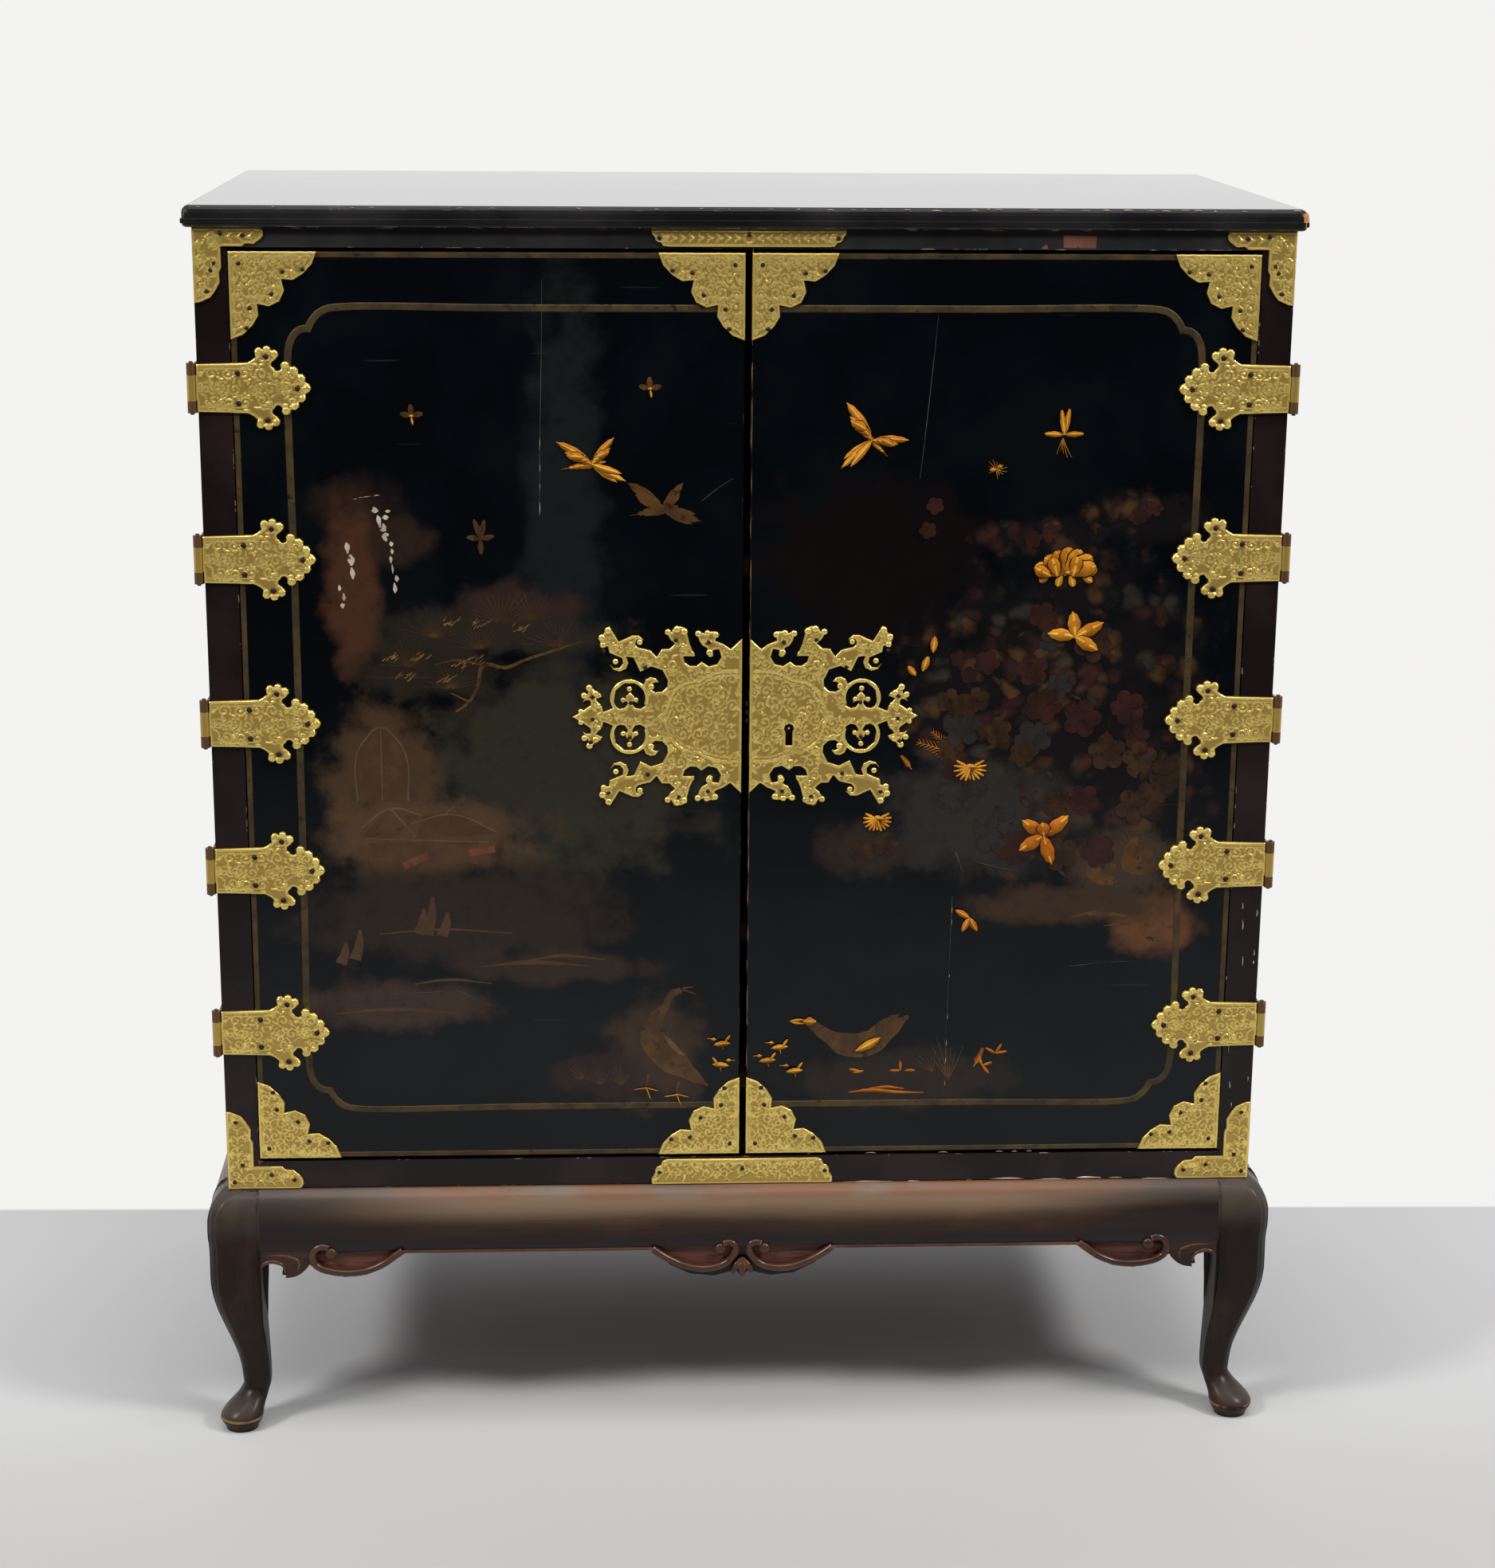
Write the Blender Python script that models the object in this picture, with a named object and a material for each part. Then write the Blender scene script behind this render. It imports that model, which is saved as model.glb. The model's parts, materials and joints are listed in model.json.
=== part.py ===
"""Lacquered two-door cabinet on a cabriole-leg stand, with engraved brass mounts.

Metres, +Z up, +X to the right, the doors face -Y. The origin is on the floor, in the
middle of the stand's plan. The stand carries the case, the case carries two doors on
five strap hinges each, the right door holds the lock and the left door two slide bolts.
"""

import math

import bmesh
import bpy
from mathutils import Matrix, Vector

# Driving sizes of the case; shares are parts of its height, from its foot up
CASE_WIDTH = 0.950
CASE_DEPTH = 0.473
CASE_HEIGHT = 0.878
SIDE_THICKNESS = 0.029
TOP_THICKNESS = 0.0185
TOP_OVERHANG = 0.008
TOP_NOSE_RADIUS = 0.0060
BACK_THICKNESS = 0.010
FACE_RAIL_DEPTH = 0.022
TOP_RAIL_HEIGHT = 0.017
BOTTOM_RAIL_HEIGHT = 0.027
BOTTOM_BOARD_THICKNESS = 0.016
SHELF_THICKNESS = 0.015
SHELF_SETBACK = 0.030
SHELF_SHARES = (0.1036, 0.2688, 0.6572)
HOUSING_DEPTH = 0.008
BACK_REBATE = 0.012
FACE_TENON_LENGTH = 0.010
FACE_TENON_THICKNESS = 0.010
FACE_TENON_SHOULDER = 0.003

# Driving sizes of the stand
STAND_HEIGHT = 0.242
STAND_BULGE = 0.020
STAND_RAIL_HEIGHT = 0.055
STAND_RAIL_DEPTH = 0.045
BACK_RAIL_THICKNESS = 0.026
BACK_RAIL_INSET = 0.010
LEG_WIDTH = 0.047
LEG_CORNER_RADIUS = 0.014
ANKLE_HEIGHT = 0.044
ANKLE_LENGTH = 0.004
ANKLE_INSET = 0.0252
ANKLE_WIDTH = 0.0258
ANKLE_OUTER_ROUND = 0.0098
ANKLE_INNER_ROUND = 0.0069
KNEE_FULL_DROP = 0.029
KNEE_DROP = 0.037
LEG_ARRIS = 0.0006
FOOT_RIM_HEIGHT = 0.012
FOOT_RIM_INSET = 0.004
FOOT_RIM_WIDTH = 0.040
FOOT_SOLE_WIDTH = 0.030
FOOT_ROUND_HEIGHT = 0.0208
STAND_TENON_LENGTH = 0.016
STAND_TENON_THICKNESS = 0.012
STAND_TENON_INSET = 0.014
STAND_TENON_SHOULDER = 0.010
APRON_THICKNESS = 0.018
APRON_INSET = 0.006
APRON_LIP = 0.0040

# Driving sizes of the doors, hinges, lock and bolts
DOOR_THICKNESS = 0.022
DOOR_SIDE_GAP = 0.001
DOOR_END_GAP = 0.003
MEETING_GAP = 0.006
DOOR_ARRIS = 0.0010
HINGE_SHARES = (0.844, 0.673, 0.5046, 0.3497, 0.1743)
KNUCKLE_HEIGHT = 0.043
KNUCKLE_RADIUS = 0.004
KNUCKLE_STAND_OFF = 0.001
FIXED_KNUCKLE_HEIGHT = 0.010
PIN_RADIUS = 0.00175
PIN_END = 0.0015
STRAP_LENGTH = 0.1025
STRAP_SPREAD = 0.0385
STRAP_THICKNESS = 0.002
STRAP_BAND_INSET = 0.001
STRAP_ROOT_LAP = 0.0005
LEAF_LENGTH = 0.060
LEAF_THICKNESS = 0.002
LEAF_POINT = 0.016
LEAF_NOTCH_SHARE = 0.9
MOUNT_THICKNESS = 0.0012
DOOR_CORNER_SIZE = 0.075
CASE_CORNER_TOP = (0.062, 0.064)
CASE_CORNER_BOTTOM = (0.070, 0.076)
CASE_CORNER_WIDTH = 0.024
TOP_ARM_MARGIN = 0.001
BOTTOM_ARM_MARGIN = 0.005
RAIL_MOUNT_MARGIN = 0.002
RAIL_MOUNT_LENGTH = 0.168
ESCUTCHEON_LENGTH = 0.1515
LOCK_SHARE = 0.5103
LOCK_WIDTH = 0.060
LOCK_HEIGHT = 0.090
LOCK_THICKNESS = 0.0124
LOCK_PLATE = 0.003
LOCK_HOLLOW_SPARE = 0.006
LOCK_BOLT_PLATE = (0.020, 0.028)
LOCK_PRONG = 0.0045
LOCK_PRONG_PITCH = 0.008
LOCK_PRONG_PROUD = 0.0025
LOCK_THROW = 0.008
KEYHOLE_INSET = 0.036
KEYHOLE_DROP = 0.017
KEYHOLE_RADIUS = 0.0045
KEYHOLE_SLOT = 0.006
KEYHOLE_HEIGHT = 0.020
SLIDE_BOLT_RADIUS = 0.004
SLIDE_BOLT_LENGTH = 0.120
SLIDE_BOLT_INSET = 0.020
SLIDE_BOLT_THROW = 0.012
SLIDE_BOLT_REST = 0.0015
KNOB_RADIUS = 0.003
KNOB_PROUD = 0.0055
KNOB_FROM_END = 0.013

# Clearances
SEAT = 0.0003
RUN = 0.0003
KEEP_SPARE = 0.002
BACK_SPARE = 0.002
HAIR = 0.0001

# How far a tool reaches past the face it cuts open, and how far a joined piece laps into its partner
CUT_PAST = 0.005
JOIN_LAP = 0.004
TINY = 1e-6

# Fineness of round work
ARC_STEP = math.radians(48)
PROFILE_STEP = math.radians(16)
APRON_STEP = math.radians(22)
SMOOTH_ANGLE = math.radians(35)
ROUND_SIDES = 12
KNEE_STEPS = 8
SHANK_STEPS = 5
FOOT_SHARES = (0.60, 0.15, 0.0)
OUTER_CORNER_POINTS = 5
INNER_CORNER_POINTS = 4

# Places worked out from the sizes above
FRONT = (STAND_BULGE - CASE_DEPTH) / 2
BACK = FRONT + CASE_DEPTH
STAND_FRONT = FRONT - STAND_BULGE
STAND_HALF_WIDTH = CASE_WIDTH / 2 + STAND_BULGE
SIDE_X = CASE_WIDTH / 2
INNER_X = SIDE_X - SIDE_THICKNESS
CASE_BOTTOM = STAND_HEIGHT
CASE_TOP = CASE_BOTTOM + CASE_HEIGHT
DOOR_LOW = CASE_BOTTOM + BOTTOM_RAIL_HEIGHT + DOOR_END_GAP
DOOR_HIGH = CASE_TOP - TOP_RAIL_HEIGHT - DOOR_END_GAP
DOOR_OUTER = INNER_X - DOOR_SIDE_GAP
DOOR_INNER = MEETING_GAP / 2
AXIS_X = SIDE_X + KNUCKLE_STAND_OFF + KNUCKLE_RADIUS
AXIS_Y = FRONT - SEAT - STRAP_THICKNESS / 2
RAIL_BOTTOM = STAND_HEIGHT - STAND_RAIL_HEIGHT
LEG_FACE_X = STAND_HALF_WIDTH - LEG_WIDTH
KNEE_STRAIGHT = RAIL_BOTTOM - KNEE_DROP
LOCK_Z = CASE_BOTTOM + LOCK_SHARE * CASE_HEIGHT
HINGE_Z = [CASE_BOTTOM + share * CASE_HEIGHT for share in HINGE_SHARES]
SHELF_Z = [CASE_BOTTOM + share * CASE_HEIGHT for share in SHELF_SHARES]
PRONG_DEPTH = DOOR_THICKNESS - LOCK_THICKNESS / 2
BORE_DEPTH = DOOR_THICKNESS / 2


def start_scene():
    """Empties the scene and gives back one collection for parts and one for tools."""
    for old in list(bpy.data.objects):
        bpy.data.objects.remove(old, do_unlink=True)
    parts = bpy.data.collections.new("lacquer_cabinet")
    tools = bpy.data.collections.new("cutters")
    for group in (parts, tools):
        bpy.context.scene.collection.children.link(group)
    return parts, tools


PARTS, TOOLS = start_scene()


def finish(name, colour, roughness, metallic=0.0):
    """A Principled material with one colour."""
    made = bpy.data.materials.new(name)
    made.use_nodes = True
    shader = made.node_tree.nodes["Principled BSDF"]
    shader.inputs["Base Color"].default_value = (*colour, 1.0)
    shader.inputs["Roughness"].default_value = roughness
    shader.inputs["Metallic"].default_value = metallic
    made.diffuse_color = (*colour, 1.0)
    return made


BLACK_LACQUER = finish("black_lacquer", (0.010, 0.012, 0.014), 0.18)
BROWN_LACQUER = finish("brown_lacquer", (0.022, 0.014, 0.014), 0.30)
STAND_WOOD = finish("stand_wood", (0.055, 0.026, 0.018), 0.35)
INNER_WOOD = finish("inner_wood", (0.150, 0.075, 0.038), 0.55)
GILT_BRASS = finish("gilt_brass", (0.640, 0.450, 0.130), 0.28, 1.0)
KNUCKLE_BRASS = finish("knuckle_brass", (0.300, 0.180, 0.070), 0.40, 1.0)
LOCK_BRASS = finish("lock_brass", (0.480, 0.340, 0.120), 0.38, 1.0)
BOLT_STEEL = finish("bolt_steel", (0.200, 0.190, 0.180), 0.45, 1.0)


def axis_empty(name, place):
    """An empty on a joint's axis, which carries what turns about it."""
    empty = bpy.data.objects.new(name, None)
    empty.location = place
    PARTS.objects.link(empty)
    return empty


def add_part(name, mesh, material, place=(0, 0, 0), carrier=None):
    """One named piece at a world place, carried by an empty where it moves."""
    if not mesh.materials:
        mesh.materials.append(material)
    piece = bpy.data.objects.new(name, mesh)
    PARTS.objects.link(piece)
    piece.location = Vector(place)
    if carrier:
        piece.parent = carrier
        piece.location = Vector(place) - carrier.location
    return piece


def add_tool(name, mesh, place=(0, 0, 0)):
    """A shape that cuts or joins another and is no piece itself."""
    tool = bpy.data.objects.new(name, mesh)
    TOOLS.objects.link(tool)
    tool.location = place
    tool.hide_render = True
    tool.display_type = "WIRE"
    return tool


def combine(piece, tool, operation):
    """Adds a Boolean that cuts the tool from the piece or joins it on."""
    boolean = piece.modifiers.new(operation.lower(), "BOOLEAN")
    boolean.object = tool
    boolean.operation = operation
    boolean.solver = "EXACT"


def baked(piece):
    """The piece's mesh with its modifiers made real; the piece itself is removed."""
    bpy.context.view_layer.update()
    depsgraph = bpy.context.evaluated_depsgraph_get()
    mesh = bpy.data.meshes.new_from_object(piece.evaluated_get(depsgraph))
    bpy.data.objects.remove(piece, do_unlink=True)
    return mesh


def mesh_from(name, shape, smooth_angle=None):
    """A mesh from a bmesh, shaded smooth below an angle where one is given."""
    mesh = bpy.data.meshes.new(name)
    bmesh.ops.recalc_face_normals(shape, faces=shape.faces)
    shape.to_mesh(mesh)
    shape.free()
    if smooth_angle:
        mesh.shade_smooth()
        mesh.set_sharp_from_angle(angle=smooth_angle)
    return mesh


def add_box(shape, one, other):
    """A box between two opposite corners, added to a bmesh."""
    one, other = Vector(one), Vector(other)
    extent = [abs(b - a) for a, b in zip(one, other)]
    place = Matrix.Translation((one + other) / 2) @ Matrix.Diagonal((*extent, 1.0))
    bmesh.ops.create_cube(shape, size=1.0, matrix=place)


def add_rod(shape, start, end, radius, sides=ROUND_SIDES):
    """A round bar between two points, added to a bmesh."""
    start, end = Vector(start), Vector(end)
    turn = (end - start).to_track_quat("Z", "Y").to_matrix().to_4x4()
    place = Matrix.Translation((start + end) / 2) @ turn
    bmesh.ops.create_cone(shape, cap_ends=True, segments=sides, radius1=radius, radius2=radius,
                          depth=(end - start).length, matrix=place)


def box_mesh(name, *boxes):
    """A mesh of one or more separate boxes."""
    shape = bmesh.new()
    for one, other in boxes:
        add_box(shape, one, other)
    return mesh_from(name, shape)


def rod_mesh(name, *rods):
    """A mesh of one or more separate round bars, each with start, end and radius."""
    shape = bmesh.new()
    for start, end, radius in rods:
        add_rod(shape, start, end, radius)
    return mesh_from(name, shape)


def board(name, one, other, material, carrier=None, arris=0.0):
    """A sawn board between two opposite world corners, its arrises eased by a small chamfer."""
    one, other = Vector(one), Vector(other)
    middle = (one + other) / 2
    shape = bmesh.new()
    add_box(shape, one - middle, other - middle)
    if arris:
        bmesh.ops.bevel(shape, geom=shape.edges[:], offset=arris, offset_type="OFFSET", segments=1,
                        profile=0.5, affect="EDGES", clamp_overlap=True)
    return add_part(name, mesh_from(name, shape), material, middle, carrier)


def bowed(start, end, bow, step):
    """Points from start up to end on an arc; bow is its rise over half its chord, leftwards."""
    start, end = Vector(start), Vector(end)
    if not bow:
        return [start]
    chord = end - start
    left = Vector((-chord.y, chord.x)).normalized()
    half = chord.length / 2
    radius = half * (1 + bow * bow) / (2 * bow)
    centre = (start + end) / 2 + left * (bow * half - radius)
    sweep = -4 * math.atan(bow)
    count = max(2, math.ceil(abs(sweep) / step))
    return [centre + Matrix.Rotation(sweep * i / count, 2) @ (start - centre) for i in range(count)]


def traced(corners, closed=True, step=ARC_STEP):
    """An outline through corners, each with the bow of the stretch that follows it."""
    points = []
    last = len(corners) if closed else len(corners) - 1
    for i in range(last):
        x, y, bow = corners[i]
        points += bowed((x, y), corners[(i + 1) % len(corners)][:2], bow, step)
    if not closed:
        points.append(Vector(corners[-1][:2]))
    return points


def doubled(half, axis):
    """A whole outline from one half, mirrored in its first (0) or second (1) coordinate."""
    flip = Vector((-1, 1)) if axis == 0 else Vector((1, -1))
    return half + [point * flip for point in reversed(half) if point[axis] > TINY]


def slab_mesh(name, loops, thickness, smooth_angle=None):
    """Closed outlines in the XY plane, filled and given a thickness about it."""
    curve = bpy.data.curves.new(name, "CURVE")
    curve.dimensions = "2D"
    curve.fill_mode = "BOTH"
    curve.extrude = thickness / 2
    for loop in loops:
        spline = curve.splines.new("POLY")
        spline.points.add(len(loop) - 1)
        for point, place in zip(spline.points, loop):
            point.co = (place[0], place[1], 0.0, 1.0)
        spline.use_cyclic_u = True
    drawn = bpy.data.objects.new(name, curve)
    TOOLS.objects.link(drawn)
    shape = bmesh.new()
    flat = baked(drawn)
    shape.from_mesh(flat)
    bpy.data.meshes.remove(flat)
    bpy.data.curves.remove(curve)
    bmesh.ops.remove_doubles(shape, verts=shape.verts, dist=TINY)
    return mesh_from(name, shape, smooth_angle)


# Turns of a drawn outline, which stands up and looks to the front, to the back or along X
FACING_FRONT = Matrix(((1, 0, 0), (0, 0, -1), (0, 1, 0))).to_4x4()
FACING_BACK = Matrix(((-1, 0, 0), (0, 0, 1), (0, 1, 0))).to_4x4()
ALONG_X = Matrix(((0, 0, 1), (1, 0, 0), (0, 1, 0))).to_4x4()


def turned(mesh, turn):
    """The same mesh, turned in place."""
    mesh.transform(turn)
    return mesh


def front_plate(name, loops, thickness, across=1, up=1):
    """A thin plate that faces the front, its outlines mirrored by two signs."""
    signed = [[(across * p[0], up * p[1]) for p in loop] for loop in loops]
    return turned(slab_mesh(name, signed, thickness), FACING_FRONT)


def scaled(corners, unit_x, unit_y):
    """A drawing in its own units, brought to size."""
    return [(x * unit_x, y * unit_y, bow) for x, y, bow in corners]


# The stand

def stand_profile():
    """Outer side of a stand rail, from its lower edge up: inset from the widest line, height."""
    unit = STAND_RAIL_HEIGHT / 55
    bulge = STAND_BULGE / 20
    corners = [(1.0, 0, 0.04), (0.0, 22, 0.10), (2.5, 38, 0.20), (17.0, 55, 0)]
    return traced(scaled(corners, bulge, unit), closed=False, step=PROFILE_STEP)


def eased(start, end, share):
    """A value that leaves start and reaches end gently."""
    return start + (end - start) * share * share * (3 - 2 * share)


def along_leg(keys, height):
    """A leg's measure at a height, eased between keys of (height, measure), top first."""
    for (top, high), (bottom, low) in zip(keys, keys[1:]):
        if height >= bottom:
            return eased(low, high, (height - bottom) / (top - bottom))
    return keys[-1][1]


def leg_section(outer, inner, corner, other, height):
    """A rounded square, finer round its outer corner; measured inwards from the stand's corner."""
    most = (inner - outer) / 2
    points = []
    for across, along, start, radius, steps in (
        (outer, outer, 180, corner, OUTER_CORNER_POINTS), (inner, outer, 270, other, INNER_CORNER_POINTS),
        (inner, inner, 0, other, INNER_CORNER_POINTS), (outer, inner, 90, other, INNER_CORNER_POINTS),
    ):
        radius = min(radius, most)
        middle_x = across + (radius if across == outer else -radius)
        middle_y = along + (radius if along == outer else -radius)
        for i in range(steps):
            angle = math.radians(start + 90 * i / (steps - 1))
            x = middle_x + radius * math.cos(angle)
            y = middle_y + radius * math.sin(angle)
            points.append((x, y, height))
    return points


def leg_mesh(name):
    """A cabriole leg lofted through sections from the stand's top down to the pad foot's sole."""
    top = RAIL_BOTTOM
    knee_inset = stand_profile()[0].x
    sole_inset = FOOT_RIM_INSET + (FOOT_RIM_WIDTH - FOOT_SOLE_WIDTH) / 2
    outer_keys = [(top, knee_inset), (top - KNEE_FULL_DROP, knee_inset), (ANKLE_HEIGHT, ANKLE_INSET),
                  (ANKLE_HEIGHT - ANKLE_LENGTH, ANKLE_INSET), (FOOT_RIM_HEIGHT, FOOT_RIM_INSET), (0, sole_inset)]
    inner_keys = [(KNEE_STRAIGHT, LEG_WIDTH), (ANKLE_HEIGHT, ANKLE_INSET + ANKLE_WIDTH),
                  (FOOT_RIM_HEIGHT, FOOT_RIM_INSET + FOOT_RIM_WIDTH), (0, sole_inset + FOOT_SOLE_WIDTH)]
    round_foot = [(FOOT_ROUND_HEIGHT, FOOT_RIM_WIDTH / 2), (0, FOOT_RIM_WIDTH / 2)]
    outer_round = [(top, LEG_CORNER_RADIUS), (ANKLE_HEIGHT, ANKLE_OUTER_ROUND), *round_foot]
    inner_round = [(KNEE_STRAIGHT, LEG_ARRIS), (ANKLE_HEIGHT, ANKLE_INNER_ROUND), *round_foot]
    sections = [leg_section(p.x, LEG_WIDTH, LEG_CORNER_RADIUS, LEG_ARRIS, RAIL_BOTTOM + p.y)
                for p in reversed(stand_profile())]
    knee_step = (top - ANKLE_HEIGHT) / KNEE_STEPS
    shank_step = (ANKLE_HEIGHT - FOOT_RIM_HEIGHT) / SHANK_STEPS
    heights = [top - knee_step * i for i in range(1, KNEE_STEPS + 1)]
    heights += [ANKLE_HEIGHT - shank_step * i for i in range(1, SHANK_STEPS + 1)]
    heights += [FOOT_RIM_HEIGHT * share for share in FOOT_SHARES]
    for height in heights:
        inner = along_leg(inner_keys, height) if height < KNEE_STRAIGHT else LEG_WIDTH
        rounding = along_leg(inner_round, height) if height < KNEE_STRAIGHT else LEG_ARRIS
        sections.append(leg_section(along_leg(outer_keys, height), inner,
                                    along_leg(outer_round, height), rounding, height))
    shape = bmesh.new()
    rings = [[shape.verts.new(point) for point in section] for section in sections]
    count = len(rings[0])
    for upper, lower in zip(rings, rings[1:]):
        for i in range(count):
            j = (i + 1) % count
            shape.faces.new((upper[i], upper[j], lower[j], lower[i]))
    shape.faces.new(rings[0])
    shape.faces.new(rings[-1])
    return mesh_from(name, shape, SMOOTH_ANGLE)


def add_legs():
    """Four legs, each mirrored into its corner and mortised for its two rails."""
    tenon_low = RAIL_BOTTOM + STAND_TENON_SHOULDER - SEAT
    tenon_high = STAND_HEIGHT - STAND_TENON_SHOULDER + SEAT
    near = STAND_TENON_INSET - SEAT
    far = STAND_TENON_INSET + STAND_TENON_THICKNESS + SEAT
    deep = LEG_WIDTH - STAND_TENON_LENGTH - SEAT
    past = LEG_WIDTH + CUT_PAST
    for depth_name, y, inward_y in (("front", STAND_FRONT, 1), ("back", BACK, -1)):
        for side_name, inward_x in (("left", 1), ("right", -1)):
            name = f"leg_{depth_name}_{side_name}"
            flip = Matrix.Diagonal((inward_x, inward_y, 1, 1))
            leg = leg_mesh(name)
            mortises = box_mesh(f"{name}_mortises",
                                ((deep, near, tenon_low), (past, far, tenon_high)),
                                ((near, deep, tenon_low), (far, past, tenon_high)))
            for mesh in (leg, mortises):
                mesh.transform(flip)
                if inward_x * inward_y < 0:
                    mesh.flip_normals()
            place = (-inward_x * STAND_HALF_WIDTH, y, 0)
            piece = add_part(name, leg, STAND_WOOD, place)
            combine(piece, add_tool(f"{name}_mortises", mortises, place), "DIFFERENCE")


def apron_outline():
    """Lower edge of the front rail's carved apron, one half, from the middle out to the leg."""
    unit = STAND_RAIL_HEIGHT / 55
    middle = [(0, -33.5, 0), (5.5, -26.5, -0.36), (83, -APRON_LIP / unit, 0)]
    bracket = [(131, -APRON_LIP / unit, -0.44), (42.5, -13.5, -0.22), (26.5, -26, 0),
               (20.7, -25.3, -0.10), (22.3, -17.5, 0.75), (0.5, -21, 0), (0.5, 12, 0)]
    end = LEG_FACE_X - SEAT
    half = [(x * unit, y * unit, bow) for x, y, bow in middle]
    half += [(end - x * unit, y * unit, bow) for x, y, bow in bracket]
    return doubled(traced(half, closed=False, step=APRON_STEP), 0)


def rail_mesh(name, length, turn):
    """A moulded stand rail of a length, its outer side at the origin and its top at full height."""
    outer = [(p.x, p.y) for p in stand_profile()]
    loop = outer + [(STAND_RAIL_DEPTH, STAND_RAIL_HEIGHT), (STAND_RAIL_DEPTH, 0)]
    return turned(slab_mesh(name, [loop], length, SMOOTH_ANGLE), turn)


def tenon_boxes(half_length, near, far, along_x):
    """The two tenons of a rail that is centred on the origin, between two insets."""
    low, high = STAND_TENON_SHOULDER, STAND_RAIL_HEIGHT - STAND_TENON_SHOULDER
    boxes = []
    for sign in (-1, 1):
        root = sign * (half_length - JOIN_LAP)
        tip = sign * (half_length + STAND_TENON_LENGTH)
        if along_x:
            boxes.append(((root, near, low), (tip, far, high)))
        else:
            boxes.append(((near, root, low), (far, tip, high)))
    return boxes


def add_stand_rails():
    """Front rail with its carved apron, two side rails and a plain back rail, all tenoned."""
    near, far = STAND_TENON_INSET, STAND_TENON_INSET + STAND_TENON_THICKNESS
    half = LEG_FACE_X - SEAT
    place = (0, STAND_FRONT, RAIL_BOTTOM)
    moulded = rail_mesh("stand_rail_front", 2 * half, ALONG_X)
    front = add_part("stand_rail_front", moulded, STAND_WOOD, place)
    apron = front_plate("apron", [apron_outline()], APRON_THICKNESS)
    apron_y = STAND_FRONT + APRON_INSET + APRON_THICKNESS / 2
    combine(front, add_tool("apron", apron, (0, apron_y, RAIL_BOTTOM)), "UNION")
    tenons = box_mesh("front_tenons", *tenon_boxes(half, near, far, True))
    combine(front, add_tool("front_tenons", tenons, place), "UNION")

    back_y = BACK - BACK_RAIL_INSET
    back = board("stand_rail_back", (-half, back_y - BACK_RAIL_THICKNESS, RAIL_BOTTOM),
                 (half, back_y, STAND_HEIGHT), STAND_WOOD)
    tenons = box_mesh("back_tenons", *tenon_boxes(half, -far, -near, True))
    combine(back, add_tool("back_tenons", tenons, (0, BACK, RAIL_BOTTOM)), "UNION")

    middle_y = (STAND_FRONT + BACK) / 2
    half = (BACK - STAND_FRONT) / 2 - LEG_WIDTH - SEAT
    for side, sign, turn in (("left", -1, FACING_FRONT), ("right", 1, FACING_BACK)):
        name = f"stand_rail_{side}"
        place = (sign * STAND_HALF_WIDTH, middle_y, RAIL_BOTTOM)
        rail = add_part(name, rail_mesh(name, 2 * half, turn), STAND_WOOD, place)
        tenons = box_mesh(f"{name}_tenons", *tenon_boxes(half, -sign * near, -sign * far, False))
        combine(rail, add_tool(f"{name}_tenons", tenons, place), "UNION")


# The case

def shelf_span(middle):
    """Under side and upper side of a shelf whose middle is at a height."""
    return middle - SHELF_THICKNESS / 2, middle + SHELF_THICKNESS / 2


def face_tenon(low, high):
    """Depth and height span of the tenon on a face rail's ends."""
    near = FRONT + (FACE_RAIL_DEPTH - FACE_TENON_THICKNESS) / 2
    return near, near + FACE_TENON_THICKNESS, low + FACE_TENON_SHOULDER, high - FACE_TENON_SHOULDER


def face_rail_span(end):
    """Low and high of the top or bottom face rail."""
    if end == "top":
        return CASE_TOP - TOP_RAIL_HEIGHT, CASE_TOP - SEAT
    return CASE_BOTTOM + SEAT, CASE_BOTTOM + BOTTOM_RAIL_HEIGHT


def floor_span():
    """Under side and upper side of the case's bottom board."""
    high = CASE_BOTTOM + BOTTOM_RAIL_HEIGHT
    return high - BOTTOM_BOARD_THICKNESS, high


def add_sides():
    """Two sides, housed for the shelves and the bottom, rebated for the back, mortised in front."""
    panel_front = BACK - BACK_THICKNESS - SEAT
    housed = [(SHELF_SETBACK, shelf_span(z)) for z in SHELF_Z]
    housed.append((FACE_RAIL_DEPTH, floor_span()))
    for side, sign in (("left", -1), ("right", 1)):
        name = f"side_{side}"
        piece = board(name, (sign * INNER_X, FRONT, CASE_BOTTOM + SEAT),
                      (sign * SIDE_X, BACK, CASE_TOP - SEAT), BROWN_LACQUER)
        past = sign * (INNER_X - CUT_PAST)
        cuts = []
        for setback, (low, high) in housed:
            cuts.append(((past, FRONT + setback - SEAT, low - SEAT),
                         (sign * (INNER_X + HOUSING_DEPTH), panel_front - BACK_SPARE, high + SEAT)))
        for end in ("top", "bottom"):
            near, far, low, high = face_tenon(*face_rail_span(end))
            cuts.append(((past, near - SEAT, low - SEAT),
                         (sign * (INNER_X + FACE_TENON_LENGTH + SEAT), far + SEAT, high + SEAT)))
        cuts.append(((past, panel_front, CASE_BOTTOM - CUT_PAST),
                     (sign * (INNER_X + BACK_REBATE), BACK + CUT_PAST, CASE_TOP + CUT_PAST)))
        combine(piece, add_tool(f"{name}_cuts", box_mesh(f"{name}_cuts", *cuts)), "DIFFERENCE")


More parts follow.
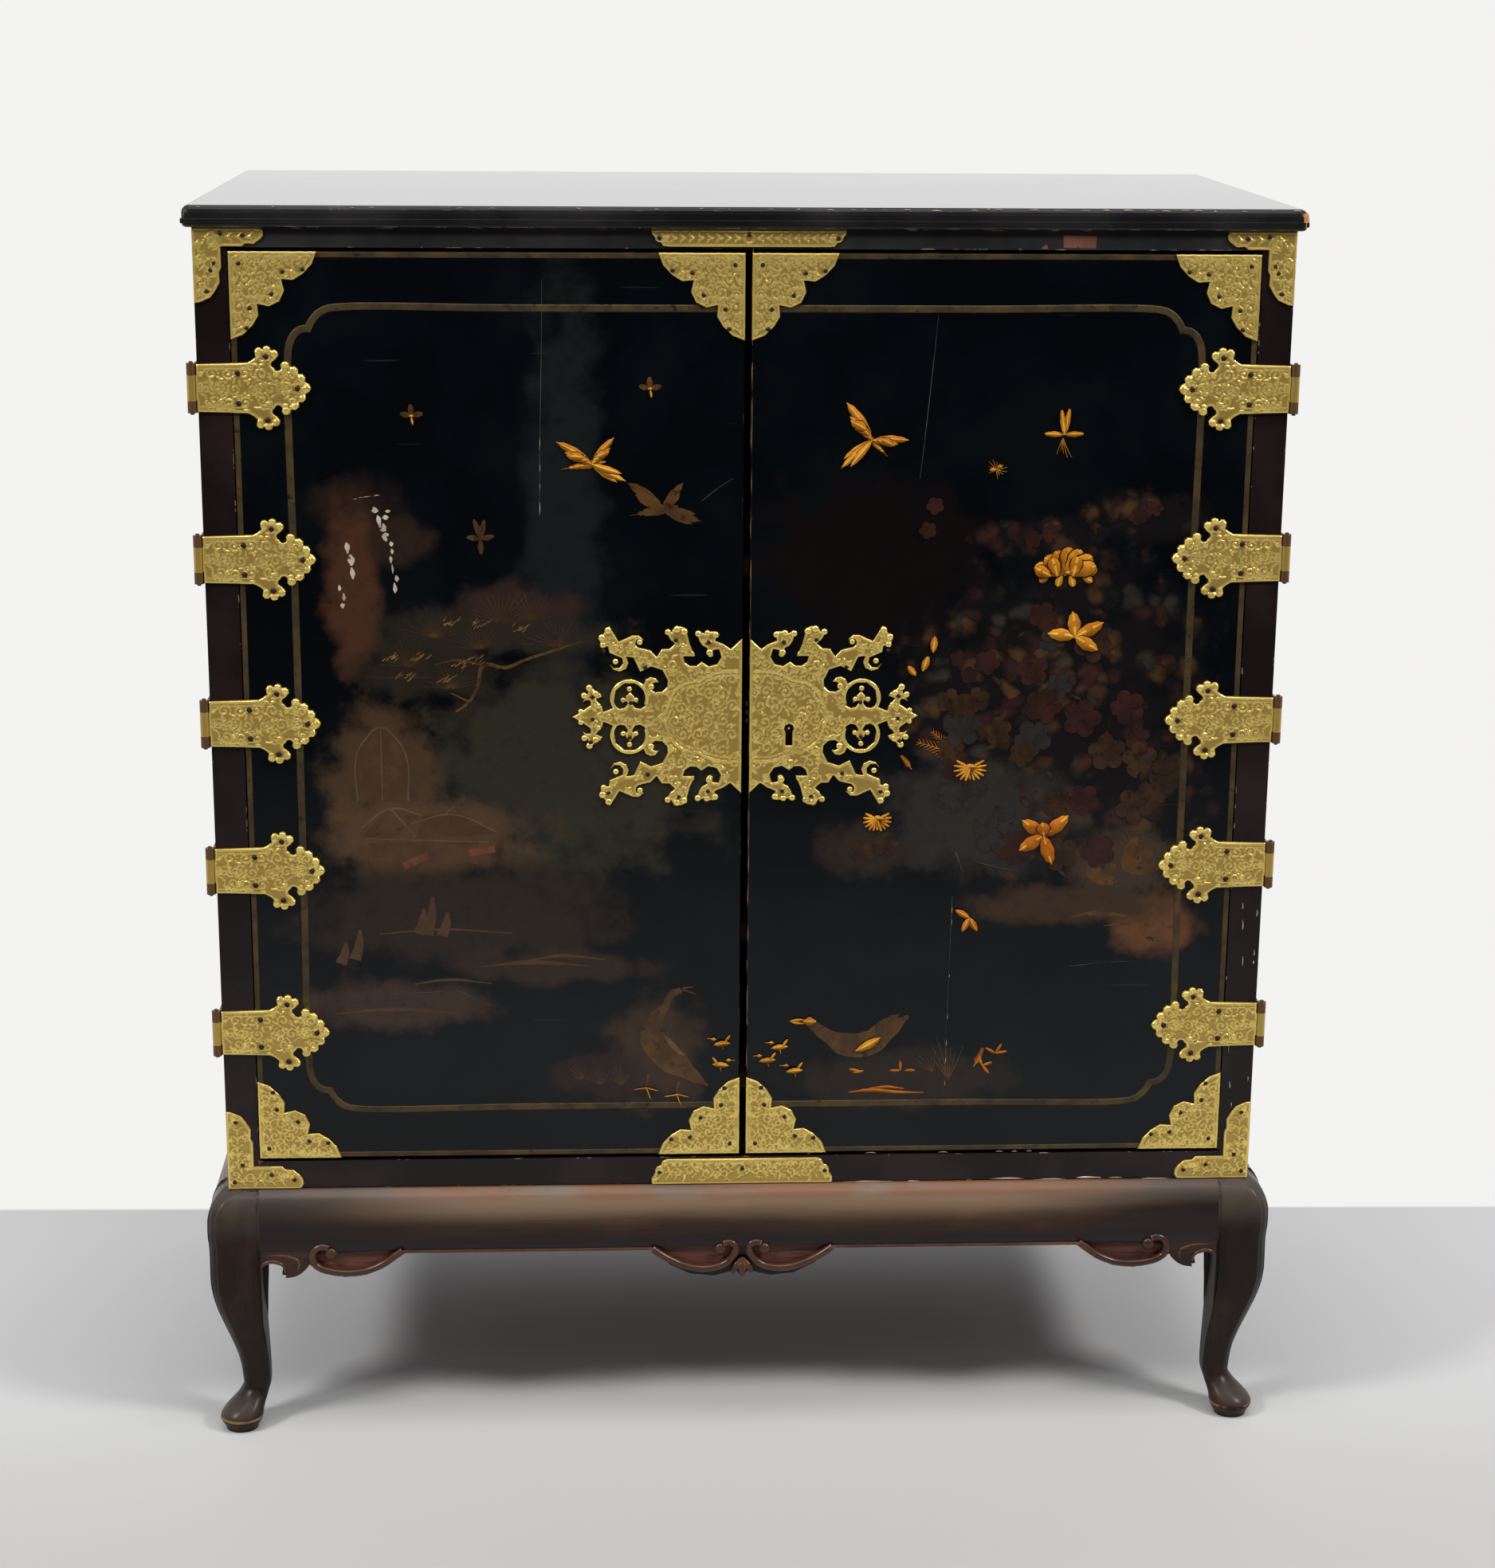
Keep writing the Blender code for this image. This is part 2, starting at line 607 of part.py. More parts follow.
def add_boards():
    """Bottom board, shelves and back panel."""
    reach = INNER_X + HOUSING_DEPTH - SEAT
    board_back = BACK - BACK_THICKNESS - BACK_SPARE - 3 * SEAT
    spans = {f"shelf_{i}": shelf_span(z) for i, z in enumerate(SHELF_Z, start=1)}
    fronts = dict.fromkeys(spans, FRONT + SHELF_SETBACK)
    spans["bottom_board"] = floor_span()
    fronts["bottom_board"] = FRONT + FACE_RAIL_DEPTH + SEAT
    for name, (low, high) in spans.items():
        board(name, (-reach, fronts[name], low), (reach, board_back, high), INNER_WOOD)
    reach = INNER_X + BACK_REBATE - SEAT
    board("back_panel", (-reach, BACK - BACK_THICKNESS, CASE_BOTTOM + SEAT),
          (reach, BACK, CASE_TOP - SEAT), BROWN_LACQUER)


def add_face_rails():
    """Top and bottom rails between the sides, tenoned, with a keep hole for the slide bolts."""
    keep_x = -DOOR_INNER - SLIDE_BOLT_INSET
    keep_y = FRONT + BORE_DEPTH
    keep_radius = SLIDE_BOLT_RADIUS + 2 * RUN
    reach = SLIDE_BOLT_THROW - SLIDE_BOLT_REST - DOOR_END_GAP + KEEP_SPARE
    half = INNER_X - SEAT
    for end in ("top", "bottom"):
        name = f"{end}_rail"
        low, high = face_rail_span(end)
        rail = board(name, (-half, FRONT, low), (half, FRONT + FACE_RAIL_DEPTH, high), BROWN_LACQUER)
        near, far, tenon_low, tenon_high = face_tenon(low, high)
        tenons = [((sign * (INNER_X - JOIN_LAP), near, tenon_low),
                   (sign * (INNER_X + FACE_TENON_LENGTH), far, tenon_high)) for sign in (-1, 1)]
        combine(rail, add_tool(f"{name}_tenons", box_mesh(f"{name}_tenons", *tenons)), "UNION")
        mouth, way = (low, 1) if end == "top" else (high, -1)
        keep = rod_mesh(f"{end}_keep", ((keep_x, keep_y, mouth - way * CUT_PAST),
                                        (keep_x, keep_y, mouth + way * reach), keep_radius))
        combine(rail, add_tool(f"{end}_keep", keep), "DIFFERENCE")


def add_top():
    """Top board with a rounded nose along its front and ends, flush with the back."""
    low = Vector((-SIDE_X - TOP_OVERHANG, FRONT - TOP_OVERHANG, CASE_TOP))
    high = Vector((SIDE_X + TOP_OVERHANG, BACK, CASE_TOP + TOP_THICKNESS))
    middle = (low + high) / 2
    size = high - low
    shape = bmesh.new()
    add_box(shape, low - middle, high - middle)

    def nose(height, radius, segments):
        """Rounds the edges whose middle is at a height, but for those at the back."""
        chosen = []
        for edge in shape.edges:
            centre = (edge.verts[0].co + edge.verts[1].co) / 2
            if abs(centre.z - height) < TINY and centre.y < size.y / 2 - TINY:
                chosen.append(edge)
        bmesh.ops.bevel(shape, geom=chosen, offset=radius, segments=segments, profile=0.5, affect="EDGES")

    nose(0, TOP_NOSE_RADIUS, 3)
    nose(size.z / 2, TOP_NOSE_RADIUS, 3)
    nose(-size.z / 2, TOP_NOSE_RADIUS / 2, 2)
    add_part("top_board", mesh_from("top_board", shape, SMOOTH_ANGLE), BLACK_LACQUER, middle)


# Brass mounts, drawn in units of a millimetre and brought to their named size

def strap_outline():
    """Hinge strap from the knuckle to its pointed tip: trefoil ears, then scallops."""
    unit_x, unit_y = STRAP_LENGTH / 102.5, STRAP_SPREAD / 38.5
    band = KNUCKLE_HEIGHT / 2 - STRAP_BAND_INSET
    start = KNUCKLE_RADIUS + KNUCKLE_STAND_OFF - STRAP_ROOT_LAP
    tongue = KNUCKLE_HEIGHT / 2 - FIXED_KNUCKLE_HEIGHT - 2 * RUN
    knuckle = [(PIN_RADIUS, 0, 0), (PIN_RADIUS, tongue, 0), (start, tongue, 0), (start, band, 0)]
    ear = [(48, 21.8, -0.10), (56, 27.0, 0), (55.4, 29.5, 1.05), (61.6, 33.2, 0.95), (69, 32.6, 1.0),
           (73.2, 25.4, 0), (71, 23.6, -0.75), (70.8, 17.4, -0.8), (77.2, 17.0, 0)]
    scallops = [(76.8, 20.5, 0.85), (85, 18.4, 0.70), (91.8, 12.3, 0.70), (97.3, 5.4, 0.30),
                (102.5, 0, 0)]
    half = knuckle + scaled(ear + scallops, unit_x, unit_y)
    return doubled(traced(half, closed=False), 1)


def escutcheon_outlines():
    """One half of the lock plate, from the meeting edge to its fleur tip, and its two pierced rings."""
    unit = ESCUTCHEON_LENGTH / 151.5
    tail = [(0.5, 71, 0), (10.5, 61.5, 0), (17, 66, 0), (24.5, 69, -0.4)]
    drop = [(20.5, 74.5, 0.35), (29, 77.5, 0), (33, 75.5, 0), (41, 77.5, 0), (38.5, 69, 0.25),
            (31.5, 62.5, -0.2), (31.5, 56.5, 0.7), (26.2, 55.5, 0), (26.5, 60.5, 0), (21, 61.5, -1.05)]
    leaf = [(36.5, 50, -0.77), (53, 55, 0), (42.5, 55, 0.3), (44.5, 60, 0), (47, 66, 0),
            (50, 78, 0.55), (59, 81, 0.3), (63.5, 77, 0), (69, 78.5, 0), (64, 70, -0.1),
            (60, 66.5, -0.35), (72, 61.5, 0)]
    arm = [(76.5, 54.5, 0), (82, 60.5, 0), (93, 63.2, -0.5), (94, 70.5, 0), (88, 70, 0.4),
           (98, 74, 0), (110, 68.5, 0), (118.5, 82.5, 0), (125.5, 73, 0.25), (126, 65, 0),
           (119.5, 64, 0), (118.5, 58.5, 0)]
    hook = [(107, 53.5, -1.1), (118, 48, 1.3), (103.5, 55, 0), (97, 54, 0)]
    scroll = [(91, 41, -0.68), (66.5, 33, -0.8), (82.5, 25.5, -0.5), (74.5, 31.5, 0.85)]
    ring = [(88, 29.5, 0.9), (114.5, 8.5, 0), (124, 4.5, 0)]
    fleur = [(125, 9, 0), (131, 16, 0), (125, 18.5, 0.4), (130, 22.5, 0), (136, 28.5, 0.2),
             (137.5, 21.5, 0), (142.5, 13.5, -0.25), (136, 15.5, -0.25), (135.5, 10.5, 0),
             (143, 5, 0), (151.5, 0, 0)]
    trefoil = [(98.2, 12, 0.95), (86, 14, 1.23), (114.5, 14, 0.95), (102.2, 12, 0), (103, 14.5, 0),
               (107.5, 12.5, 0.3), (104, 18.5, 0.35), (100.2, 27, 0.35), (96.4, 18.5, 0.3),
               (92.9, 12.5, 0), (97.4, 14.5, 0)]
    edge = tail + drop + leaf + arm + hook + scroll + ring + fleur
    outer = doubled(traced(scaled(edge, unit, unit), closed=False), 1)
    hole = traced(scaled(trefoil, unit, unit))
    return [outer, hole, [Vector((p.x, -p.y)) for p in hole]]


def door_corner_outline():
    """Corner mount of a door, from its square corner: three lobes on the inner side."""
    unit = DOOR_CORNER_SIZE / 75
    corners = [(0, 0, 0), (75, 0, -0.20), (63, 19, -0.32), (44.5, 23.5, -0.80), (23.5, 44.5, -0.32),
               (19, 63, -0.20), (0, 75, 0)]
    return traced(scaled(corners, unit, unit))


def case_corner_outline(across, up, arm):
    """L-shaped mount of the case's corner: a square corner and two arms with lobed ends."""
    unit = CASE_CORNER_WIDTH / 24
    stile = CASE_CORNER_WIDTH
    flat = [(0, 0, 0), (across - 3 * unit, 0, -0.45), (across - 4 * unit, 0.6 * arm, -0.35),
            (across - 17 * unit, 0.85 * arm, 0), (across - 20 * unit, arm, 0)]
    upright = [(stile, arm, 0), (stile, up - 30 * unit, 0), (stile - 2 * unit, up - 26 * unit, -0.30),
               (stile - 6 * unit, up - 10 * unit, -0.25), (stile / 3, up - 2 * unit, -0.15), (0, up, 0)]
    return traced(flat + upright)


def rail_mount_outline(height):
    """Long mount in the middle of a face rail, its ends cut to three lobes, longest at the edge."""
    unit = RAIL_MOUNT_LENGTH / 168
    right = [(84 * unit, 0, -0.30), (81 * unit, 0.45 * height, -0.45),
             (76 * unit, 0.75 * height, -0.40), (70 * unit, height, 0)]
    return doubled(traced(right, closed=False), 0)


def add_case_mounts():
    """Corner mounts and rail mounts on the front of the case."""
    y = FRONT - SEAT - MOUNT_THICKNESS / 2
    for end, sizes, rail, margin, z, up in (
        ("top", CASE_CORNER_TOP, TOP_RAIL_HEIGHT, TOP_ARM_MARGIN, CASE_TOP - SEAT, -1),
        ("bottom", CASE_CORNER_BOTTOM, BOTTOM_RAIL_HEIGHT, BOTTOM_ARM_MARGIN, CASE_BOTTOM + SEAT, 1),
    ):
        outline = case_corner_outline(*sizes, rail - margin)
        for side, sign in (("left", -1), ("right", 1)):
            name = f"case_corner_{end}_{side}"
            plate = front_plate(name, [outline], MOUNT_THICKNESS, across=-sign, up=up)
            add_part(name, plate, GILT_BRASS, (sign * SIDE_X, y, z))
        name = f"rail_mount_{end}"
        outline = rail_mount_outline(rail - RAIL_MOUNT_MARGIN)
        plate = front_plate(name, [outline], MOUNT_THICKNESS, up=up)
        add_part(name, plate, GILT_BRASS, (0, y, z))


def strap_mesh(name, sign):
    """A hinge strap with its middle knuckle; sign 1 points to the right of its axis."""
    plate = front_plate(name, [strap_outline()], STRAP_THICKNESS, across=sign)
    half = KNUCKLE_HEIGHT / 2 - FIXED_KNUCKLE_HEIGHT - RUN
    strap = add_tool(name, plate)
    tube = add_tool("knuckle", rod_mesh("knuckle", ((0, 0, -half), (0, 0, half), KNUCKLE_RADIUS)))
    past = half + CUT_PAST
    bore = add_tool("bore", rod_mesh("bore", ((0, 0, -past), (0, 0, past), PIN_RADIUS + RUN)))
    combine(strap, tube, "UNION")
    combine(strap, bore, "DIFFERENCE")
    mesh = baked(strap)
    for tool in (tube, bore):
        bpy.data.objects.remove(tool, do_unlink=True)
    return mesh


def leaf_mesh(name, sign):
    """A hinge's fixed leaf on the case's side: plate, two end knuckles and the riveted pin."""
    top = KNUCKLE_HEIGHT / 2
    inner = top - FIXED_KNUCKLE_HEIGHT
    near = STRAP_THICKNESS / 2 + SEAT + HAIR
    clear = KNUCKLE_RADIUS * LEAF_NOTCH_SHARE
    corner = LEAF_LENGTH - LEAF_POINT
    outline = [(near, top, 0), (near, inner, 0), (clear, inner, 0), (clear, -inner, 0), (near, -inner, 0),
               (near, -top, 0), (corner, -top, 0.25), (LEAF_LENGTH, 0, 0.25), (corner, top, 0)]
    plate = slab_mesh(name, [traced(outline)], LEAF_THICKNESS)
    plate.transform(ALONG_X)
    seat_x = KNUCKLE_RADIUS + KNUCKLE_STAND_OFF - SEAT - LEAF_THICKNESS / 2
    plate.transform(Matrix.Translation((-sign * seat_x, 0, 0)))
    leaf = add_tool(name, plate)
    ends = add_tool("ends", rod_mesh("ends", ((0, 0, inner), (0, 0, top), KNUCKLE_RADIUS),
                                     ((0, 0, -top), (0, 0, -inner), KNUCKLE_RADIUS)))
    pin = add_tool("pin", rod_mesh("pin", ((0, 0, -top - PIN_END), (0, 0, top + PIN_END), PIN_RADIUS)))
    combine(leaf, ends, "UNION")
    combine(leaf, pin, "UNION")
    mesh = baked(leaf)
    for tool in (ends, pin):
        bpy.data.objects.remove(tool, do_unlink=True)
    return mesh


def add_hinges(axes):
    """Five hinges a door: the strap turns with the door, the leaf and pin stay on the case."""
    for side, sign in (("left", -1), ("right", 1)):
        strap = strap_mesh(f"strap_{side}", -sign)
        leaf = leaf_mesh(f"leaf_{side}", sign)
        for number, z in enumerate(HINGE_Z, start=1):
            place = (sign * AXIS_X, AXIS_Y, z)
            add_part(f"hinge_strap_{side}_{number}", strap, GILT_BRASS, place, axes[side])
            add_part(f"hinge_leaf_{side}_{number}", leaf, KNUCKLE_BRASS, place)


def add_door_mounts(axes):
    """Four corner mounts and one half of the lock plate on each door."""
    y = FRONT - SEAT - MOUNT_THICKNESS / 2
    corner = door_corner_outline()
    for side, sign in (("left", -1), ("right", 1)):
        for end, z, up in (("top", DOOR_HIGH - SEAT, -1), ("bottom", DOOR_LOW + SEAT, 1)):
            for edge, x, across in (("outer", DOOR_OUTER, -sign), ("inner", DOOR_INNER, sign)):
                name = f"door_corner_{side}_{end}_{edge}"
                plate = front_plate(name, [corner], MOUNT_THICKNESS, across, up)
                add_part(name, plate, GILT_BRASS, (sign * x, y, z), axes[side])
        name = f"escutcheon_{side}"
        plate = front_plate(name, escutcheon_outlines(), MOUNT_THICKNESS, across=sign)
        piece = add_part(name, plate, GILT_BRASS, (sign * DOOR_INNER, y, LOCK_Z), axes[side])
        if side == "right":
            combine(piece, keyhole_tool("escutcheon_keyhole", FRONT - CUT_PAST, FRONT), "DIFFERENCE")


# Doors, lock and bolts

def keyhole_tool(name, near, far):
    """A keyhole right through from one depth to another: round above, straight below."""
    x = DOOR_INNER + KEYHOLE_INSET
    top = LOCK_Z - KEYHOLE_DROP + KEYHOLE_HEIGHT / 2
    half = KEYHOLE_SLOT / 2
    rise = KEYHOLE_RADIUS + math.sqrt(KEYHOLE_RADIUS ** 2 - half ** 2)
    outline = [(half, -rise, -rise / half), (-half, -rise, 0), (-half, -KEYHOLE_HEIGHT, 0),
               (half, -KEYHOLE_HEIGHT, 0)]
    plate = turned(slab_mesh(name, [traced(outline)], far - near), FACING_FRONT)
    return add_tool(name, plate, (x, (near + far) / 2, top))


def prong_levels():
    """Heights of the lock bolt's three prongs."""
    return [LOCK_Z + i * LOCK_PRONG_PITCH for i in (-1, 0, 1)]


def prong_boxes(near_x, far_x, clearance):
    """Three boxes round the prongs, between two places across."""
    middle = FRONT + PRONG_DEPTH
    reach = LOCK_PRONG / 2 + clearance
    return [((near_x, middle - reach, z - reach), (far_x, middle + reach, z + reach))
            for z in prong_levels()]


def add_doors(axes):
    """Two flush doors, bored for the slide bolts and cut for the lock and its keep."""
    back = FRONT + DOOR_THICKNESS
    for side, sign in (("left", -1), ("right", 1)):
        door = board(f"door_{side}", (sign * DOOR_INNER, FRONT, DOOR_LOW),
                     (sign * DOOR_OUTER, back, DOOR_HIGH), BLACK_LACQUER, axes[side], DOOR_ARRIS)
        if side == "right":
            front = back - LOCK_THICKNESS - 2 * SEAT
            half = LOCK_HEIGHT / 2 + SEAT
            recess = box_mesh("lock_recess", ((DOOR_INNER - CUT_PAST, front, LOCK_Z - half),
                                              (DOOR_INNER + LOCK_WIDTH + SEAT, back + CUT_PAST,
                                               LOCK_Z + half)))
            combine(door, add_tool("lock_recess", recess), "DIFFERENCE")
            hole = keyhole_tool("door_keyhole", FRONT - CUT_PAST, front + JOIN_LAP)
            combine(door, hole, "DIFFERENCE")
        else:
            keep = LOCK_THROW + LOCK_PRONG_PROUD - MEETING_GAP + KEEP_SPARE
            boxes = prong_boxes(-DOOR_INNER - keep, -DOOR_INNER + CUT_PAST, 2 * RUN)
            combine(door, add_tool("lock_keeps", box_mesh("lock_keeps", *boxes)), "DIFFERENCE")
            bores, slots = bolt_ways()
            combine(door, add_tool("bolt_bores", bores), "DIFFERENCE")
            combine(door, add_tool("bolt_slots", slots), "DIFFERENCE")


def slide_bolts():
    """For each slide bolt: its end, the way it moves, its outer end and its knob's height."""
    rest_top = DOOR_HIGH - SLIDE_BOLT_REST
    rest_bottom = DOOR_LOW + SLIDE_BOLT_REST
    return (("top", 1, rest_top, rest_top - SLIDE_BOLT_LENGTH + KNOB_FROM_END),
            ("bottom", -1, rest_bottom, rest_bottom + SLIDE_BOLT_LENGTH - KNOB_FROM_END))


def bolt_ways():
    """Bores along the left door's meeting edge, and the slots that let the knobs through its back."""
    x, y = -DOOR_INNER - SLIDE_BOLT_INSET, FRONT + BORE_DEPTH
    rods, boxes = [], []
    for _, way, end, knob in slide_bolts():
        inner = end - way * (SLIDE_BOLT_LENGTH + RUN)
        rods.append(((x, y, inner), (x, y, end + way * CUT_PAST), SLIDE_BOLT_RADIUS + 2 * RUN))
        reach = KNOB_RADIUS + RUN
        boxes.append(((x - reach, y, knob - way * reach),
                      (x + reach, FRONT + DOOR_THICKNESS + CUT_PAST,
                       knob + way * (SLIDE_BOLT_THROW + reach))))
    return rod_mesh("bolt_bores", *rods), box_mesh("bolt_slots", *boxes)


def add_slide_bolts(axes):
    """Two round bolts that hold the left door to the rails, each with a knob at the back."""
    x, y = -DOOR_INNER - SLIDE_BOLT_INSET, FRONT + BORE_DEPTH
    knob_end = DOOR_THICKNESS - BORE_DEPTH + KNOB_PROUD
    for end_name, way, end, knob in slide_bolts():
        name = f"slide_bolt_{end_name}"
        rod = rod_mesh(name, ((0, 0, 0), (0, 0, -way * SLIDE_BOLT_LENGTH), SLIDE_BOLT_RADIUS))
        bolt = add_part(name, rod, BOLT_STEEL, (x, y, end), axes["left"])
        grip = rod_mesh(f"{name}_knob", ((0, 0, knob - end), (0, knob_end, knob - end), KNOB_RADIUS))
        combine(bolt, add_tool(f"{name}_knob", grip, (x, y, end)), "UNION")


def add_lock(axes):
    """Lock case let into the right door's back, and the three-pronged bolt that slides in it."""
    carrier = axes["right"]
    back = FRONT + DOOR_THICKNESS - SEAT
    front = back - LOCK_THICKNESS + SEAT
    case = board("lock_case", (DOOR_INNER, front, LOCK_Z - LOCK_HEIGHT / 2),
                 (DOOR_INNER + LOCK_WIDTH, back, LOCK_Z + LOCK_HEIGHT / 2), LOCK_BRASS, carrier)
    middle = FRONT + PRONG_DEPTH
    half = LOCK_PRONG / 2 + RUN
    width, height = LOCK_BOLT_PLATE
    hollow_near = DOOR_INNER + LOCK_PLATE
    hollow_far = DOOR_INNER + KEYHOLE_INSET + KEYHOLE_RADIUS + LOCK_HOLLOW_SPARE
    reach = LOCK_HEIGHT / 2 - 2 * LOCK_PLATE
    hollow = box_mesh("lock_hollow", ((hollow_near, middle - half, LOCK_Z - reach),
                                      (hollow_far, middle + half, LOCK_Z + reach)))
    combine(case, add_tool("lock_hollow", hollow), "DIFFERENCE")
    boxes = prong_boxes(DOOR_INNER - CUT_PAST, hollow_near + HAIR, RUN - HAIR)
    combine(case, add_tool("lock_mouths", box_mesh("lock_mouths", *boxes)), "DIFFERENCE")
    combine(case, keyhole_tool("lock_keyhole", front - CUT_PAST, middle), "DIFFERENCE")

    plate_x = hollow_near + LOCK_THROW + RUN
    tip_x = DOOR_INNER - LOCK_PRONG_PROUD
    plate = box_mesh("lock_bolt", ((plate_x - tip_x, -LOCK_PRONG / 2, -height / 2),
                                   (plate_x - tip_x + width, LOCK_PRONG / 2, height / 2)))
    bolt = add_part("lock_bolt", plate, BOLT_STEEL, (tip_x, middle, LOCK_Z), carrier)
    prongs = box_mesh("lock_prongs", *prong_boxes(tip_x, plate_x + JOIN_LAP, -HAIR))
    combine(bolt, add_tool("lock_prongs", prongs), "UNION")


def main():
    add_legs()
    add_stand_rails()
    add_sides()
    add_boards()
    add_face_rails()
    add_top()
    axes = {side: axis_empty(f"door_axis_{side}", (sign * AXIS_X, AXIS_Y, CASE_BOTTOM))
            for side, sign in (("left", -1), ("right", 1))}
    add_doors(axes)
    add_hinges(axes)
    add_case_mounts()
    add_door_mounts(axes)
    add_lock(axes)
    add_slide_bolts(axes)


main()
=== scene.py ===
# %% [markdown]
# # A lacquered cabinet on a cabriole stand
# The real piece is a cupboard of painted and polished black lacquer with two doors, hung on five
# brass strap hinges each, and it stands on a low carved stand. The solids come packed from CAD and
# stay where they are. This script dresses them: finishes for every solid, chased relief on the
# brass, nails, gilt lines, raised painting, and the carving of the stand.

# %% Load the frame
import json
import math
from random import Random

import bmesh
import bpy
from mathutils import Matrix, Vector, kdtree, noise


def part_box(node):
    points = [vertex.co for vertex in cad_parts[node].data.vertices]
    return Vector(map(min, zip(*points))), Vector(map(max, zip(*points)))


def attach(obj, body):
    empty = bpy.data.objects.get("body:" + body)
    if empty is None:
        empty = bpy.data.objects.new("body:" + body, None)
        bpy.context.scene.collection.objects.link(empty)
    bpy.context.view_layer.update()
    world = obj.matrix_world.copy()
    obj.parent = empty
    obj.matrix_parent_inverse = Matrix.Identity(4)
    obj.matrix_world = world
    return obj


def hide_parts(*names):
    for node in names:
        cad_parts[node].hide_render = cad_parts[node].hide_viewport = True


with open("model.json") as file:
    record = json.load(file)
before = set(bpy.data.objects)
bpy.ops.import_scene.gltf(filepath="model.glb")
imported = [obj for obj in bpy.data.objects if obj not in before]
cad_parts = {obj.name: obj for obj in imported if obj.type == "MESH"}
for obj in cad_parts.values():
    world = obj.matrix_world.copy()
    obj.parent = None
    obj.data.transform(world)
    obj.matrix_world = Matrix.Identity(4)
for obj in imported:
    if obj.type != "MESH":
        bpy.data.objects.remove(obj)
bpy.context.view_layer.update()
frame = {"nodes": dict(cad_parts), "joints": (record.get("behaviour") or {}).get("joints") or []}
nodes = frame["nodes"]

# %% [markdown]
# Every place below is read from the frame, so a piece sits where the solid that carries it is.
# Drawings on the front are written in millimetres, across from the middle and up from the floor,
# because that is how one would measure the real doors with a rule.

# %% Places read from the frame
MM = 0.001
door_low, door_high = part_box("door_left")
FRONT = door_low.y
DOOR_BOTTOM, DOOR_TOP = door_low.z / MM, door_high.z / MM
DOOR_EDGE = -door_low.x / MM
MOUNT_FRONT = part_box("escutcheon_left")[0].y
hinge_axis = {joint["child"]: joint["pos_m"] for joint in frame["joints"] if joint["type"] == "hinge"}
STRAP_FRONT = hinge_axis["left_door"][1] - 1.0 * MM
APRON_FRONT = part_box("stand_rail_front")[0].y + 6.0 * MM
RAIL_FOOT = 187.0
print("front of the doors at", round(FRONT, 4), "doors from", DOOR_BOTTOM, "to", DOOR_TOP, "mm")

# %% [markdown]
# ## Camera, floor and light
# The photograph was taken from a little left of the middle, with the camera higher than the top
# and tilted down. Its place and lens were fitted to the straight edges of the case. The image
# counts as 1876 by 1968, so the lens is given for the long, upright side.

# %% Camera
IMAGE_HEIGHT = 1968
FOCAL_PIXELS = 3806.8
SENSOR = 36.0
EYE = Vector((-0.13126, -2.86076, 1.32910))
PITCH, YAW, ROLL = math.radians(14.904), math.radians(2.902), math.radians(0.455)

ahead = Vector((math.sin(YAW) * math.cos(PITCH), math.cos(YAW) * math.cos(PITCH), -math.sin(PITCH)))
level = Vector((math.cos(YAW), -math.sin(YAW), 0.0))
upright = level.cross(ahead)
right = level * math.cos(ROLL) + upright * math.sin(ROLL)
up = upright * math.cos(ROLL) - level * math.sin(ROLL)
camera_data = bpy.data.cameras.new("camera")
camera_data.sensor_fit = "VERTICAL"
camera_data.sensor_height = SENSOR
camera_data.lens = FOCAL_PIXELS / IMAGE_HEIGHT * SENSOR
camera = bpy.data.objects.new("camera", camera_data)
camera.matrix_world = Matrix.Translation(EYE) @ Matrix((right, up, -ahead)).transposed().to_4x4()
bpy.context.scene.collection.objects.link(camera)
bpy.context.scene.camera = camera
print("lens", round(camera_data.lens, 2), "mm")

# %% [markdown]
# Materials are node trees, and writing them out socket by socket hides what they do. A few short
# helpers keep each finish readable: one adds a node, one does arithmetic, one mixes two colours
# and one turns a range of values into a smooth mask.

# %% Helpers for node trees
def feed(tree, socket, value):
    """Links a socket to another one, or sets its plain value."""
    if isinstance(value, bpy.types.NodeSocket):
        tree.links.new(value, socket)
    else:
        socket.default_value = value


def node(tree, kind, **values):
    """A shader node; lower-case keys are its options, the others its inputs."""
    made = tree.nodes.new("ShaderNode" + kind)
    for key, value in values.items():
        if key[0].islower():
            setattr(made, key, value)
        else:
            feed(tree, made.inputs[key.replace("_", " ")], value)
    return made


def arithmetic(tree, kind, operation, values):
    """A node that works on the given values, in their order."""
    made = node(tree, kind, operation=operation)
    for socket, value in zip(made.inputs, values):
        feed(tree, socket, value)
    return made.outputs


def calc(tree, operation, *values):
    """One step of arithmetic."""
    return arithmetic(tree, "Math", operation, values)[0]


def vector_calc(tree, operation, *values):
    """One step of arithmetic with vectors: a vector and a plain value come out."""
    return arithmetic(tree, "VectorMath", operation, values)


def mix(tree, share, one, other):
    """A colour between two others."""
    made = node(tree, "Mix", data_type="RGBA")
    for place, value in ((0, share), (6, one), (7, other)):
        feed(tree, made.inputs[place], value)
    return made.outputs[2]


def mask(tree, value, low, high):
    """0 at low and 1 at high, smooth between; low may be the larger one."""
    return node(tree, "MapRange", interpolation_type="SMOOTHSTEP", Value=value,
                From_Min=low, From_Max=high).outputs[0]


def speckle(tree, vector, scale, detail=4.0, rough=0.55):
    """Cloudy noise of a scale."""
    return node(tree, "TexNoise", Vector=vector, Scale=scale, Detail=detail, Roughness=rough).outputs[0]


def stretched(tree, vector, scale):
    """Coordinates drawn out along an axis."""
    return node(tree, "Mapping", Vector=vector, Scale=scale).outputs[0]


def rgb(red, green, blue):
    """An opaque colour."""
    return (red, green, blue, 1.0)


